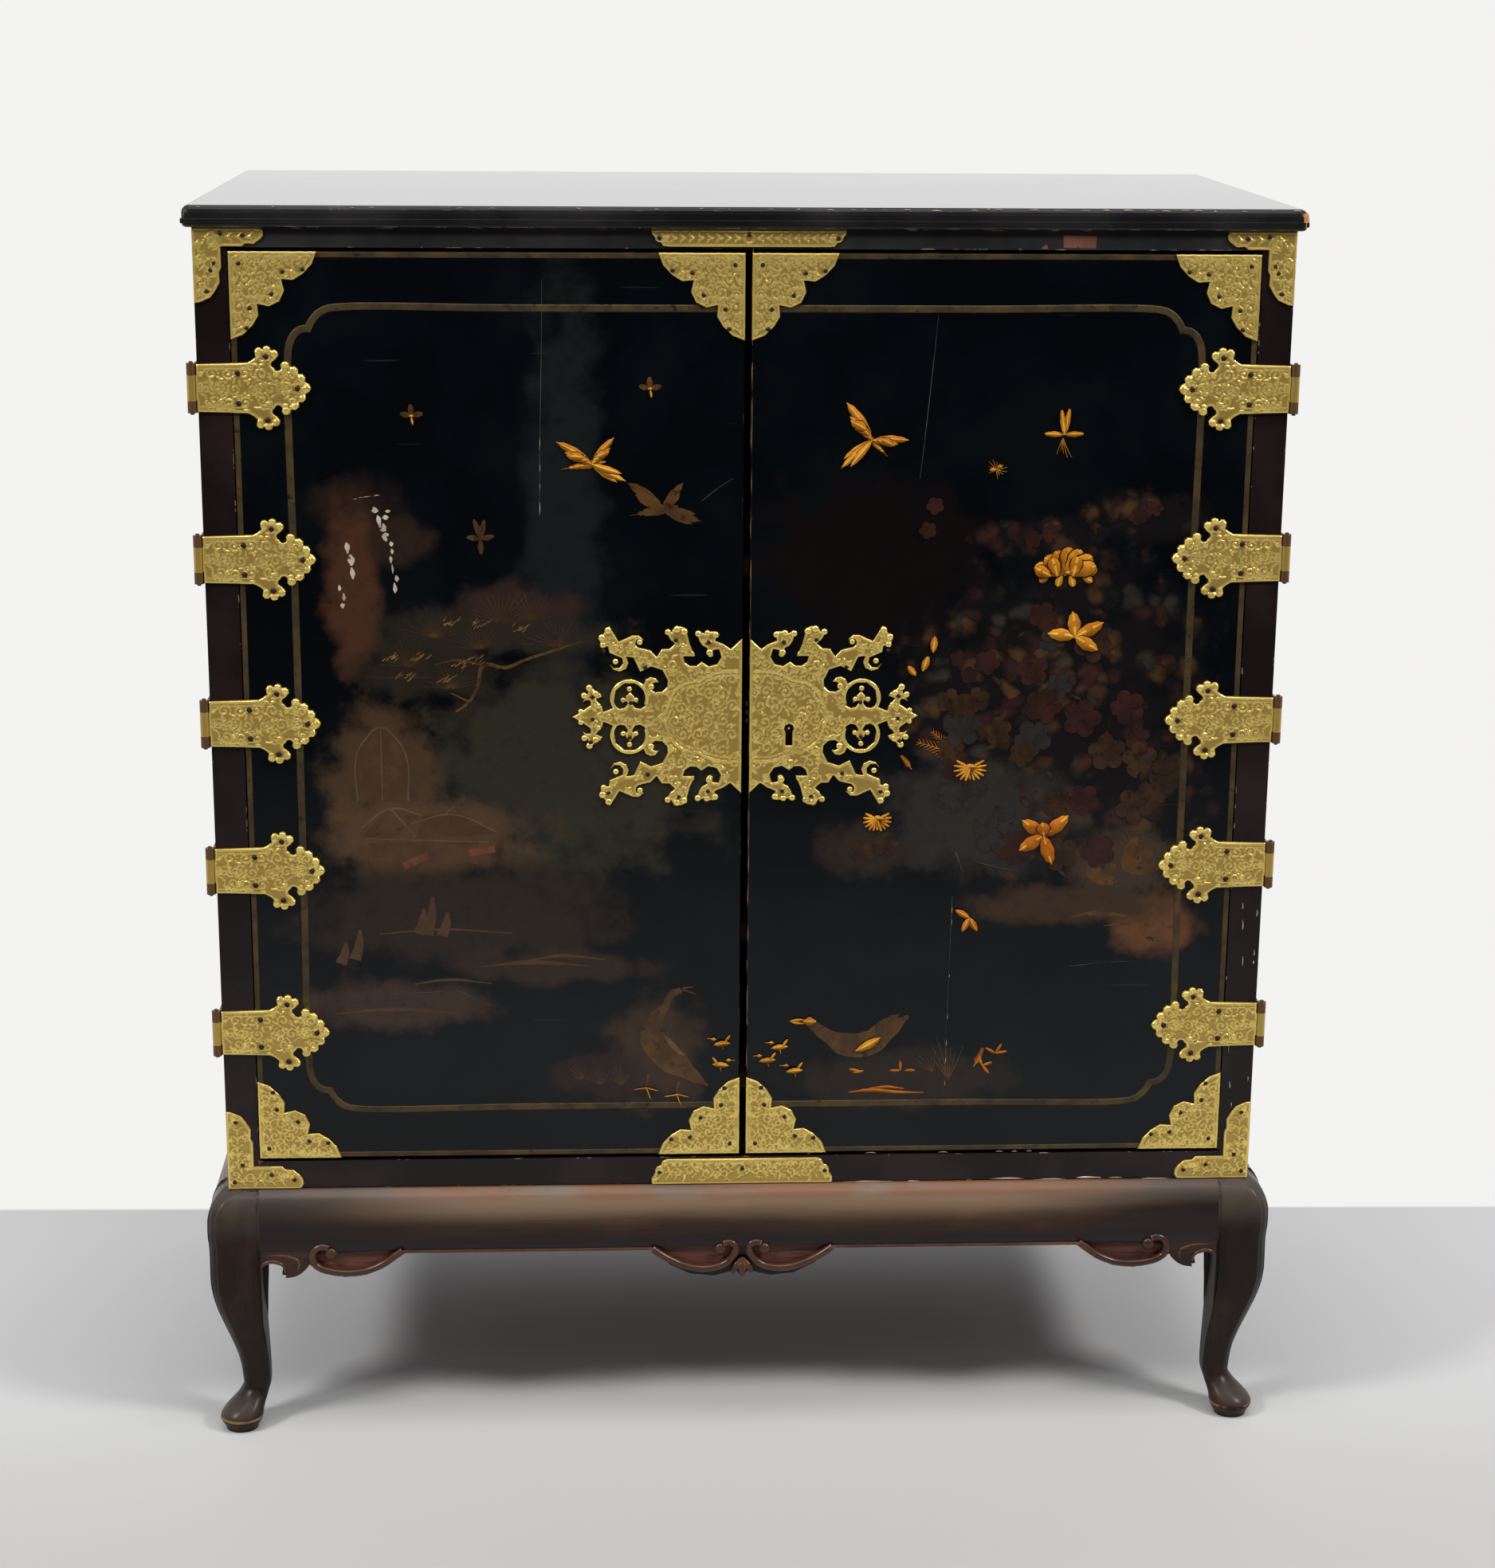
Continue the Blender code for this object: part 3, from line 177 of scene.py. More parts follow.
def new_material(name):
    """A Principled material: itself, its tree, its shader and its object coordinates."""
    material = bpy.data.materials.new(name)
    material.use_nodes = True
    tree = material.node_tree
    return material, tree, tree.nodes["Principled BSDF"], node(tree, "TexCoord").outputs["Object"]


# %% [markdown]
# The room is a grey floor and a white wall. The wall is only a white stretch of floor and world
# that the camera sees, so that it never stands in the way of a view from behind. The camera sees a
# pale floor everywhere. Only polish and bounced light see it grow darker in front of the cabinet,
# as a deep room does, because the polished doors mirror that room.
# The floor's paint carries painted light: it is darker in front and lighter towards the wall.

# %% Floor and world
FLOOR_SIZE = 30.0
WALL_Y, WALL_SLANT, WALL_BLUR = 0.288, -0.025, 0.004
NEAR_Y, FAR_Y = -0.55, 0.25
ROOM_START_Y, ROOM_END_Y = -0.9, -3.2
FLOOR_SHADED_NEAR, FLOOR_LIT_FAR = rgb(0.465, 0.460, 0.448), rgb(0.700, 0.698, 0.700)
WALL_WHITE, PURE_WHITE = rgb(0.900, 0.895, 0.885), rgb(1.0, 1.0, 1.0)
ROOM_DARK = rgb(0.060, 0.062, 0.065)
CEILING_DARK, CEILING_LIGHT = rgb(0.02, 0.021, 0.023), rgb(0.62, 0.62, 0.64)


def make_floor():
    """One big sheet: a floor that ends in the wall, pale with painted light that grows towards the wall, and
    a dark room in front for reflections.
    """
    shape = bmesh.new()
    bmesh.ops.create_grid(shape, x_segments=2, y_segments=2, size=FLOOR_SIZE)
    mesh = bpy.data.meshes.new("floor")
    shape.to_mesh(mesh)
    shape.free()
    floor = bpy.data.objects.new("floor", mesh)
    bpy.context.scene.collection.objects.link(floor)
    material, tree, shader, coords = new_material("floor_and_wall")
    place = node(tree, "SeparateXYZ", Vector=coords).outputs
    path = node(tree, "LightPath").outputs
    # painted light: the floor is painted darker in front and lighter towards the wall
    pale = mix(tree, mask(tree, place["Y"], NEAR_Y, FAR_Y), FLOOR_SHADED_NEAR, FLOOR_LIT_FAR)
    unseen = calc(tree, "SUBTRACT", 1.0, path["Is Camera Ray"])
    room = calc(tree, "MULTIPLY", mask(tree, place["Y"], ROOM_START_Y, ROOM_END_Y), unseen)
    depth = calc(tree, "MULTIPLY_ADD", place["X"], -WALL_SLANT, place["Y"])
    wall = mask(tree, depth, WALL_Y - WALL_BLUR, WALL_Y + WALL_BLUR)
    ground = mix(tree, room, pale, ROOM_DARK)
    feed(tree, shader.inputs["Base Color"], mix(tree, wall, ground, WALL_WHITE))
    shader.inputs["Roughness"].default_value = 0.6
    shader.inputs["Specular IOR Level"].default_value = 0.2
    seen = calc(tree, "MAXIMUM", path["Is Camera Ray"], path["Is Glossy Ray"])
    white = node(tree, "Emission", Color=WALL_WHITE)
    blend = node(tree, "MixShader", Fac=calc(tree, "MULTIPLY", wall, seen))
    tree.links.new(shader.outputs[0], blend.inputs[1])
    tree.links.new(white.outputs[0], blend.inputs[2])
    tree.links.new(blend.outputs[0], tree.nodes["Material Output"].inputs["Surface"])
    mesh.materials.append(material)


def make_world():
    """A white wall for the camera and for reflections from behind, and a ceiling that gives light."""
    world = bpy.data.worlds.new("studio")
    bpy.context.scene.world = world
    world.use_nodes = True
    tree = world.node_tree
    path = node(tree, "LightPath").outputs
    way = node(tree, "SeparateXYZ", Vector=node(tree, "TexCoord").outputs["Generated"]).outputs
    ceiling = mix(tree, mask(tree, way["Z"], 0.25, 0.9), CEILING_DARK, CEILING_LIGHT)
    mirrored = calc(tree, "MULTIPLY", path["Is Glossy Ray"], mask(tree, way["Y"], -0.15, 0.2))
    seen = calc(tree, "MAXIMUM", path["Is Camera Ray"], mirrored)
    wall = mix(tree, mirrored, WALL_WHITE, PURE_WHITE)
    feed(tree, tree.nodes["Background"].inputs["Color"], mix(tree, seen, ceiling, wall))


make_floor()
make_world()
print("floor", 2 * FLOOR_SIZE, "m wide, wall at", WALL_Y, "m behind the middle")

# %% [markdown]
# Three soft lamps light the front: one from each side, so that the relief of the brass is lit from
# both, and a long one above that fills the shadows.

# %% Lamps
LAMP_AIM = (0, 0, 0.5)
LAMPS = (
    ("key_left", (-2.6, -1.8, 2.8), (0.8, 0.6), 74),
    ("key_right", (2.6, -1.8, 2.8), (0.8, 0.6), 80),
    ("top_light", (0.0, -0.9, 3.2), (2.4, 0.9), 34),
)


def add_lamp(name, place, size, power):
    """A soft rectangular lamp that looks at the middle of the cabinet."""
    lamp = bpy.data.lights.new(name, "AREA")
    lamp.shape = "RECTANGLE"
    lamp.size, lamp.size_y = size
    lamp.energy = power
    carrier = bpy.data.objects.new(name, lamp)
    aim = (Vector(LAMP_AIM) - Vector(place)).to_track_quat("-Z", "Y")
    carrier.matrix_world = Matrix.Translation(place) @ aim.to_matrix().to_4x4()
    bpy.context.scene.collection.objects.link(carrier)


for lamp in LAMPS:
    add_lamp(*lamp)
bpy.context.scene.view_settings.view_transform = "Standard"
print("lamps:", [lamp[0] for lamp in LAMPS])

# %% [markdown]
# ## Effects that several finishes share
# Old lacquer loses its edges first, so worn edges are one group of nodes: a softened normal is
# compared with the true one, which differs only along an arris, and noise breaks the line up.
# A painted patch is an ellipse with a ragged rim. Wood grain is noise drawn out along the board.

# %% Node groups
def shader_group(name, inputs, outputs):
    """A node group with named sockets, and its inner ends."""
    tree = bpy.data.node_groups.new(name, "ShaderNodeTree")
    for label, kind, start in inputs:
        socket = tree.interface.new_socket(label, in_out="INPUT", socket_type="NodeSocket" + kind)
        if start is not None:
            socket.default_value = start
    for label, kind in outputs:
        tree.interface.new_socket(label, in_out="OUTPUT", socket_type="NodeSocket" + kind)
    given, out = (tree.nodes.new(kind) for kind in ("NodeGroupInput", "NodeGroupOutput"))
    return tree, given.outputs, out.inputs


def use(tree, group, **values):
    """Places a group in a tree and gives back its outputs."""
    made = tree.nodes.new("ShaderNodeGroup")
    made.node_tree = group
    for key, value in values.items():
        feed(tree, made.inputs[key.replace("_", " ")], value)
    return made.outputs


def make_worn_edges():
    """A mask of broken wear along every arris of a solid."""
    tree, given, out = shader_group("worn_edges", [
        ("Vector", "Vector", None), ("Radius", "Float", 0.002), ("Breakup", "Float", 60.0),
        ("Amount", "Float", 0.5)], [("Mask", "Float")])
    soft = node(tree, "Bevel", samples=4, Radius=given["Radius"]).outputs[0]
    true = node(tree, "NewGeometry").outputs["Normal"]
    edge = mask(tree, vector_calc(tree, "DOT_PRODUCT", soft, true)["Value"], 0.985, 0.80)
    cloud = speckle(tree, given["Vector"], given["Breakup"], 6.0, 0.65)
    start = calc(tree, "SUBTRACT", 0.95, calc(tree, "MULTIPLY", given["Amount"], 0.7))
    broken = calc(tree, "GREATER_THAN", calc(tree, "ADD", cloud, calc(tree, "MULTIPLY", edge, 0.18)), start)
    feed(tree, out["Mask"], calc(tree, "MULTIPLY", edge, broken))
    return tree


def make_painted_patch():
    """A mask in the shape of a ragged, mottled ellipse on the front plane."""
    tree, given, out = shader_group("painted_patch", [
        ("Vector", "Vector", None), ("Centre", "Vector", None), ("Size", "Vector", None),
        ("Ragged", "Float", 0.6), ("Breakup", "Float", 26.0)], [("Mask", "Float")])
    away = vector_calc(tree, "SUBTRACT", given["Vector"], given["Centre"])[0]
    reach = vector_calc(tree, "LENGTH", vector_calc(tree, "DIVIDE", away, given["Size"])[0])["Value"]
    cloud = speckle(tree, given["Vector"], given["Breakup"], 6.0, 0.6)
    ragged = calc(tree, "MULTIPLY", given["Ragged"], 2.6)
    rim = calc(tree, "MULTIPLY", calc(tree, "SUBTRACT", cloud, 0.5), ragged)
    feed(tree, out["Mask"], mask(tree, calc(tree, "ADD", reach, rim), 1.15, 0.55))
    return tree


def make_wood_grain():
    """Fibres and darker pores along the first axis of the given coordinates."""
    tree, given, out = shader_group("wood_grain", [("Vector", "Vector", None)],
                                    [("Figure", "Float"), ("Pores", "Float")])
    broad = speckle(tree, stretched(tree, given["Vector"], (2.2, 26.0, 26.0)), 1.0, 5.0, 0.6)
    fine = speckle(tree, stretched(tree, given["Vector"], (26.0, 420.0, 420.0)), 1.0, 3.0, 0.6)
    feed(tree, out["Figure"], broad)
    feed(tree, out["Pores"], mask(tree, fine, 0.52, 0.66))
    return tree


def make_handling():
    """Faint clouds and fine scratches that dull a polished surface."""
    tree, given, out = shader_group("handling", [("Vector", "Vector", None)],
                                    [("Haze", "Float"), ("Scratch", "Float")])
    feed(tree, out["Haze"], mask(tree, speckle(tree, given["Vector"], 7.0, 7.0, 0.62), 0.42, 0.72))
    turned = node(tree, "Mapping", Vector=given["Vector"], Rotation=(0.0, 0.55, 0.0), Scale=(9.0, 9.0, 260.0))
    line = speckle(tree, turned.outputs[0], 1.0, 2.0, 0.4)
    feed(tree, out["Scratch"], mask(tree, line, 0.735, 0.76))
    return tree


LEAF_TONES = (
    (0.20, 0.30, rgb(0.060, 0.031, 0.013)),
    (0.50, 0.58, rgb(0.030, 0.025, 0.019)),
    (0.70, 0.76, rgb(0.046, 0.017, 0.010)),
    (0.88, 0.92, rgb(0.075, 0.036, 0.012)),
)
FIRST_LEAF, LEAF_GAP = rgb(0.028, 0.011, 0.011), rgb(0.006, 0.005, 0.005)


def make_foliage():
    """Leaves of mixed colours that run into each other, as old painting does."""
    tree, given, out = shader_group("foliage", [("Vector", "Vector", None)], [("Color", "Color")])
    warp = node(tree, "TexNoise", Vector=given["Vector"], Scale=38.0, Detail=3.0).outputs["Color"]
    pushed = vector_calc(tree, "MULTIPLY_ADD", warp, (0.03, 0.03, 0.03), given["Vector"])[0]
    cells = node(tree, "TexVoronoi", Vector=pushed, Scale=52.0).outputs
    pick = node(tree, "SeparateColor", Color=cells["Color"]).outputs[0]
    tone = FIRST_LEAF
    for low, high, leaf in LEAF_TONES:
        tone = mix(tree, mask(tree, pick, low, high), tone, leaf)
    gap = mask(tree, cells["Distance"], 0.15, 0.62)
    feed(tree, out["Color"], mix(tree, gap, tone, LEAF_GAP))
    return tree


WORN_EDGES = make_worn_edges()
PAINTED_PATCH = make_painted_patch()
WOOD_GRAIN = make_wood_grain()
HANDLING = make_handling()
FOLIAGE = make_foliage()
print("node groups:", [g.name for g in bpy.data.node_groups])

# %% [markdown]
# ## Lacquer
# The doors are blue-black and glossy, with brown, maroon and grey clouds where the raised painting
# has faded into the ground. Each cloud is a painted patch with its own place, size and colour. The
# frame of the case is a purplish brown of the same lacquer, and its arrises are chipped to a pale
# ground. One function makes all of these finishes.

# %% Lacquer finishes
PALE_GROUND = rgb(0.52, 0.42, 0.29)
BARE_WOOD = rgb(0.36, 0.15, 0.055)


def lacquer(name, dark, light, patches=(), chip=PALE_GROUND, amount=0.42, radius=0.0016, gloss=0.07,
            shine=0.26, ripples=0.06):
    """A polished lacquer with clouds, painted patches, worn edges and fine handling marks."""
    material, tree, shader, coords = new_material(name)
    cloud = mask(tree, speckle(tree, coords, 9.0, 6.0), 0.38, 0.70)
    colour = mix(tree, cloud, dark, light)
    front = calc(tree, "LESS_THAN", node(tree, "SeparateXYZ", Vector=coords).outputs["Y"], FRONT + 0.5 * MM)
    for x, z, wide, tall, tint in patches:
        inside = use(tree, PAINTED_PATCH, Vector=coords, Centre=(x * MM, FRONT, z * MM),
                     Size=(wide * MM, 1.0, tall * MM))["Mask"]
        mottle = mask(tree, speckle(tree, coords, 70.0, 5.0, 0.65), -0.10, 0.56)
        shade = use(tree, FOLIAGE, Vector=coords)["Color"] if tint is None else rgb(*tint)
        share = calc(tree, "MULTIPLY", calc(tree, "MULTIPLY", inside, mottle), front)
        colour = mix(tree, share, colour, shade)
    wear = use(tree, WORN_EDGES, Vector=coords, Radius=radius, Amount=amount)["Mask"]
    tone = mix(tree, mask(tree, speckle(tree, coords, 31.0), 0.45, 0.55), chip, BARE_WOOD)
    marks = use(tree, HANDLING, Vector=coords)
    colour = mix(tree, calc(tree, "MULTIPLY", marks["Scratch"], 0.03), colour, rgb(0.30, 0.31, 0.31))
    feed(tree, shader.inputs["Base Color"], mix(tree, wear, colour, tone))
    rough = calc(tree, "MULTIPLY_ADD", marks["Haze"], 0.06, gloss)
    feed(tree, shader.inputs["Roughness"], calc(tree, "MULTIPLY_ADD", wear, 0.45, rough))
    ripple = node(tree, "Bump", Strength=ripples, Distance=0.002,
                  Height=speckle(tree, stretched(tree, coords, (9.0, 9.0, 2.5)), 1.0, 3.0))
    feed(tree, shader.inputs["Normal"], ripple.outputs[0])
    shader.inputs["Specular IOR Level"].default_value = shine
    return material


LEFT_PATCHES = (
    (-160, 850, 40, 260, (0.0085, 0.0105, 0.0105)),
    (-160, 640, 150, 110, (0.0255, 0.0225, 0.0145)),
    (-343, 880, 42, 28, (0.0170, 0.0095, 0.0065)),
    (-347, 800, 27, 88, (0.0560, 0.0235, 0.0120)),
    (-303, 846, 30, 25, (0.0225, 0.0130, 0.0085)),
    (-206, 782, 66, 30, (0.0300, 0.0165, 0.0125)),
    (-272, 768, 56, 28, (0.0200, 0.0170, 0.0115)),
    (-170, 762, 64, 20, (0.0210, 0.0170, 0.0120)),
    (-285, 730, 72, 28, (0.0190, 0.0150, 0.0095)),
    (-325, 640, 56, 70, (0.0560, 0.0325, 0.0165)),
    (-285, 578, 104, 43, (0.0740, 0.0405, 0.0200)),
    (-250, 505, 160, 52, (0.0210, 0.0140, 0.0095)),
    (-316, 421, 96, 26, (0.0400, 0.0225, 0.0150)),
    (-170, 455, 100, 18, (0.0270, 0.0160, 0.0100)),
    (-78, 372, 48, 60, (0.0400, 0.0215, 0.0125)),
    (-130, 350, 50, 26, (0.0200, 0.0120, 0.0085)),
)
RIGHT_PATCHES = (
    (110, 830, 110, 90, (0.0050, 0.0030, 0.0030)),
    (285, 690, 140, 160, None),
    (300, 610, 120, 70, None),
    (355, 870, 54, 26, None),
    (260, 850, 60, 20, None),
    (188, 720, 48, 50, None),
    (200, 600, 92, 58, (0.0240, 0.0215, 0.0180)),
    (112, 568, 44, 34, (0.0230, 0.0155, 0.0105)),
    (345, 548, 62, 40, (0.0420, 0.0270, 0.0150)),
    (372, 494, 46, 34, (0.1050, 0.0420, 0.0150)),
    (300, 510, 100, 22, (0.0380, 0.0210, 0.0110)),
    (150, 345, 110, 32, (0.0190, 0.0125, 0.0090)),
)
BLACK_DARK, BLACK_LIGHT = rgb(0.0007, 0.0014, 0.0025), rgb(0.0022, 0.0036, 0.0048)
BROWN_DARK, BROWN_LIGHT = rgb(0.0075, 0.0042, 0.0046), rgb(0.0190, 0.0100, 0.0095)
EDGE_TONES = rgb(0.0060, 0.0058, 0.0061), rgb(0.0195, 0.0182, 0.0180)
DOOR_FINISH = {}
for side, patches, chipped in (("left", LEFT_PATCHES, 0.27), ("right", RIGHT_PATCHES, 0.32)):
    DOOR_FINISH[f"door_{side}"] = lacquer(f"door_lacquer_{side}", BLACK_DARK, BLACK_LIGHT, patches,
                                          amount=chipped, radius=0.0012)
TOP_LACQUER = lacquer("top_lacquer", BLACK_DARK, rgb(0.010, 0.010, 0.011), amount=0.10, gloss=0.03,
                      shine=1.0, ripples=0.01)
EDGE_LACQUER = lacquer("top_edge_lacquer", *EDGE_TONES, amount=0.34, radius=0.0026, gloss=0.24, shine=0.22)
BEAD_LACQUER = lacquer("top_bead_lacquer", *EDGE_TONES, amount=0.06, gloss=0.24, shine=0.22)
RAIL_LACQUER = lacquer("top_rail_lacquer", rgb(0.0150, 0.0142, 0.0148), rgb(0.0310, 0.0290, 0.0285),
                       amount=0.24, radius=0.0018, gloss=0.22)
CASE_LACQUER = lacquer("case_lacquer", BROWN_DARK, BROWN_LIGHT, amount=0.24, radius=0.0020, gloss=0.20)
print("lacquers made for", list(DOOR_FINISH), "the top and the case")

# %% [markdown]
# ## Wood and metal
# Along the top of the front and back rails and over the knees of the legs a lighter band is a painted
# highlight, and those rails are painted darker towards their foot as painted shade.
# The stand is dark red-brown wood with a soft polish; its ridges are rubbed back to a warm orange.
# Inside, shelves are plain brown wood. The brass is yellow and bright on its high places, brown
# in its hollows, and stippled all over by the chaser's punch, which is a fine bump here because a
# punch mark is smaller than half a millimetre.

# %% Wood and metal finishes
LONG_X, LONG_Y, LONG_Z = (0.0, 0.0, 0.0), (0.0, 0.0, math.pi / 2), (0.0, math.pi / 2, 0.0)
LEG_BROWN, PORE = rgb(0.0100, 0.0052, 0.0042), rgb(0.006, 0.003, 0.002)
HIGHLIGHT_LOW, HIGHLIGHT_FULL, KNEE_HIGHLIGHT_DROP = 0.208, 0.228, 0.016
RAIL_HIGHLIGHT, RAIL_END_HIGHLIGHT, KNEE_HIGHLIGHT = rgb(0.200, 0.135, 0.088), rgb(0.050, 0.038, 0.030), rgb(0.064, 0.048, 0.038)
FOOT_RIM, FOOT_DUST, RIM_WORN = 0.0122, rgb(0.058, 0.044, 0.033), rgb(0.24, 0.145, 0.05)


def wood(name, dark, light, rubbed, turn, amount, gloss, polish=0.3, worn=0.3, crown=0.0, foot=0.0):
    """Wood with its grain along one axis and rubbed edges; a crown adds a rubbed strip, a painted highlight
    band and painted shade below it, and a foot adds a painted highlight band, dust and a worn rim.
    """
    material, tree, shader, coords = new_material(name)
    place = node(tree, "SeparateXYZ", Vector=coords).outputs
    along = node(tree, "Mapping", Vector=coords, Rotation=turn).outputs[0]
    grain = use(tree, WOOD_GRAIN, Vector=along)
    colour = mix(tree, mask(tree, grain["Figure"], 0.32, 0.70), dark, light)
    colour = mix(tree, calc(tree, "MULTIPLY", grain["Pores"], 0.55), colour, PORE)
    cloud = speckle(tree, coords, 11.0, 5.0)
    patch = mask(tree, cloud, 0.50, 0.74)
    colour = mix(tree, calc(tree, "MULTIPLY", patch, amount * 0.5), colour, rubbed)
    if crown:
        ends = mask(tree, calc(tree, "ABSOLUTE", place["X"]), 0.22, 0.44)
        # painted shade: the rail is painted darker towards its foot
        colour = mix(tree, mask(tree, place["Z"], 0.213, 0.190), colour, dark)
        colour = mix(tree, ends, colour, LEG_BROWN)
        # painted highlight: a lighter band along the rounded top of the rail, dimmer towards the ends
        band = mask(tree, place["Z"], HIGHLIGHT_LOW, HIGHLIGHT_FULL)
        band = calc(tree, "MULTIPLY", band, mask(tree, grain["Figure"], 0.25, 0.62))
        colour = mix(tree, calc(tree, "MULTIPLY", band, crown), colour, mix(tree, ends, RAIL_HIGHLIGHT, RAIL_END_HIGHLIGHT))
        strip = calc(tree, "MULTIPLY", mask(tree, place["Z"], 0.230, 0.237), mask(tree, cloud, 0.36, 0.58))
        strip = calc(tree, "MULTIPLY", strip, calc(tree, "MULTIPLY_ADD", ends, -0.8, 1.0))
        colour = mix(tree, calc(tree, "MULTIPLY", strip, crown), colour, rubbed)
    if foot:
        # painted highlight: the rail's lighter band carried on over the knee of the leg
        band = mask(tree, place["Z"], HIGHLIGHT_LOW - KNEE_HIGHLIGHT_DROP, HIGHLIGHT_FULL)
        band = calc(tree, "MULTIPLY", band, mask(tree, cloud, 0.20, 0.60))
        colour = mix(tree, band, colour, KNEE_HIGHLIGHT)
        facing = node(tree, "SeparateXYZ", Vector=node(tree, "NewGeometry").outputs["Normal"]).outputs["Z"]
        dust = calc(tree, "MULTIPLY", mask(tree, place["Z"], 0.040, 0.018), mask(tree, facing, 0.05, 0.45))
        colour = mix(tree, calc(tree, "MULTIPLY", dust, foot), colour, FOOT_DUST)
        rim = mask(tree, calc(tree, "ABSOLUTE", calc(tree, "SUBTRACT", place["Z"], FOOT_RIM)), 0.0018, 0.0006)
        rim = calc(tree, "MULTIPLY", rim, mask(tree, speckle(tree, coords, 60.0), 0.42, 0.58))
        colour = mix(tree, rim, colour, RIM_WORN)
    if worn:
        wear = use(tree, WORN_EDGES, Vector=coords, Radius=0.0035, Amount=worn, Breakup=40.0)["Mask"]
        colour = mix(tree, calc(tree, "MULTIPLY", wear, 0.8), colour, rubbed)
    feed(tree, shader.inputs["Base Color"], colour)
    rough = calc(tree, "MULTIPLY_ADD", grain["Pores"], 0.18, gloss)
    feed(tree, shader.inputs["Roughness"], calc(tree, "MULTIPLY_ADD", patch, 0.12, rough))
    dent = node(tree, "Bump", Strength=0.10, Distance=0.0005,
                Height=calc(tree, "SUBTRACT", grain["Figure"], grain["Pores"]))
    feed(tree, shader.inputs["Normal"], dent.outputs[0])
    shader.inputs["Specular IOR Level"].default_value = 0.12
    shader.inputs["Coat Weight"].default_value = polish
    shader.inputs["Coat Roughness"].default_value = 0.27
    return material


def brass(name, bright, dull, rough, stipple, tarnish, metal=0.85):
    """Chased brass: bright where the sheet says it is raised, brown in hollows and in clouds."""
    material, tree, shader, coords = new_material(name)
    raised = node(tree, "Attribute", attribute_name="raised").outputs["Fac"]
    cloud = mask(tree, speckle(tree, coords, 38.0, 6.0, 0.65), 0.44, 0.70)
    hollow = calc(tree, "MULTIPLY", calc(tree, "SUBTRACT", 1.0, raised), 0.80)
    share = calc(tree, "MAXIMUM", hollow, calc(tree, "MULTIPLY", cloud, tarnish))
    feed(tree, shader.inputs["Base Color"], mix(tree, share, bright, dull))
    feed(tree, shader.inputs["Roughness"], calc(tree, "MULTIPLY_ADD", share, 0.16, rough))
    punched = speckle(tree, coords, 560.0, 2.0, 0.6)
    bump = node(tree, "Bump", Strength=stipple, Distance=0.0004, Height=punched)
    feed(tree, shader.inputs["Normal"], bump.outputs[0])
    shader.inputs["Metallic"].default_value = metal
    return material


STAND_RUBBED = rgb(0.170, 0.058, 0.016)
STAND_TONES = rgb(0.0095, 0.0045, 0.0036), rgb(0.046, 0.0185, 0.0090), STAND_RUBBED
# crown: a rubbed strip, a painted highlight band along the top and painted shade towards the foot
RAIL_WOOD = wood("stand_wood_rails", *STAND_TONES, LONG_X, 0.50, 0.34, 0.35, worn=0.0, crown=0.8)
SIDE_RAIL_WOOD = wood("stand_wood_sides", *STAND_TONES, LONG_Y, 0.40, 0.34, 0.35, worn=0.0)
# foot: dust, a worn rim and a painted highlight band over the knee
LEG_WOOD = wood("stand_wood_legs", rgb(0.0075, 0.0036, 0.0030), rgb(0.024, 0.0105, 0.0066), STAND_RUBBED,
                LONG_Z, 0.30, 0.34, 0.14, worn=0.16, foot=0.75)
CARVED_WOOD = wood("carved_wood", rgb(0.024, 0.010, 0.0075), rgb(0.070, 0.027, 0.014),
                   rgb(0.26, 0.105, 0.040), LONG_X, 0.62, 0.24, 0.5, worn=0.5)
FIELD_WOOD = wood("carved_field", rgb(0.052, 0.022, 0.016), rgb(0.145, 0.058, 0.040), rgb(0.26, 0.11, 0.06),
                  LONG_X, 0.4, 0.45, 0.1, worn=0.0)
BRACKET_WOOD = wood("carved_bracket", LEG_BROWN, rgb(0.036, 0.0155, 0.0085), rgb(0.17, 0.070, 0.028),
                    LONG_X, 0.35, 0.30, 0.3, worn=0.34)
SHELF_WOOD = wood("shelf_wood", rgb(0.060, 0.030, 0.016), rgb(0.140, 0.072, 0.036), rgb(0.22, 0.12, 0.06),
                  LONG_X, 0.40, 0.48, 0.0)
MOUNT_BRASS = brass("mount_brass", rgb(1.0, 0.76, 0.21), rgb(0.35, 0.214, 0.042), 0.22, 0.45, 0.55, 0.62)
KNUCKLE_BRASS = brass("knuckle_brass", rgb(0.34, 0.20, 0.075), rgb(0.11, 0.055, 0.028), 0.36, 0.15, 0.8, 0.8)
LOCK_BRASS = brass("lock_brass", rgb(0.55, 0.40, 0.15), rgb(0.22, 0.14, 0.05), 0.36, 0.12, 0.7)
NAIL_METAL = brass("nail_metal", rgb(0.060, 0.038, 0.020), rgb(0.018, 0.011, 0.008), 0.38, 0.10, 0.7, 0.7)
POST_STEEL = brass("post_steel", rgb(0.78, 0.74, 0.70), rgb(0.36, 0.32, 0.29), 0.30, 0.05, 0.3)
BOLT_STEEL = brass("bolt_steel", rgb(0.22, 0.21, 0.20), rgb(0.09, 0.075, 0.065), 0.36, 0.10, 0.7)
print("woods and metals:", len(bpy.data.materials), "materials so far")

# %% [markdown]
# Each solid of the frame keeps its shape and takes one of these finishes, chosen by its name.

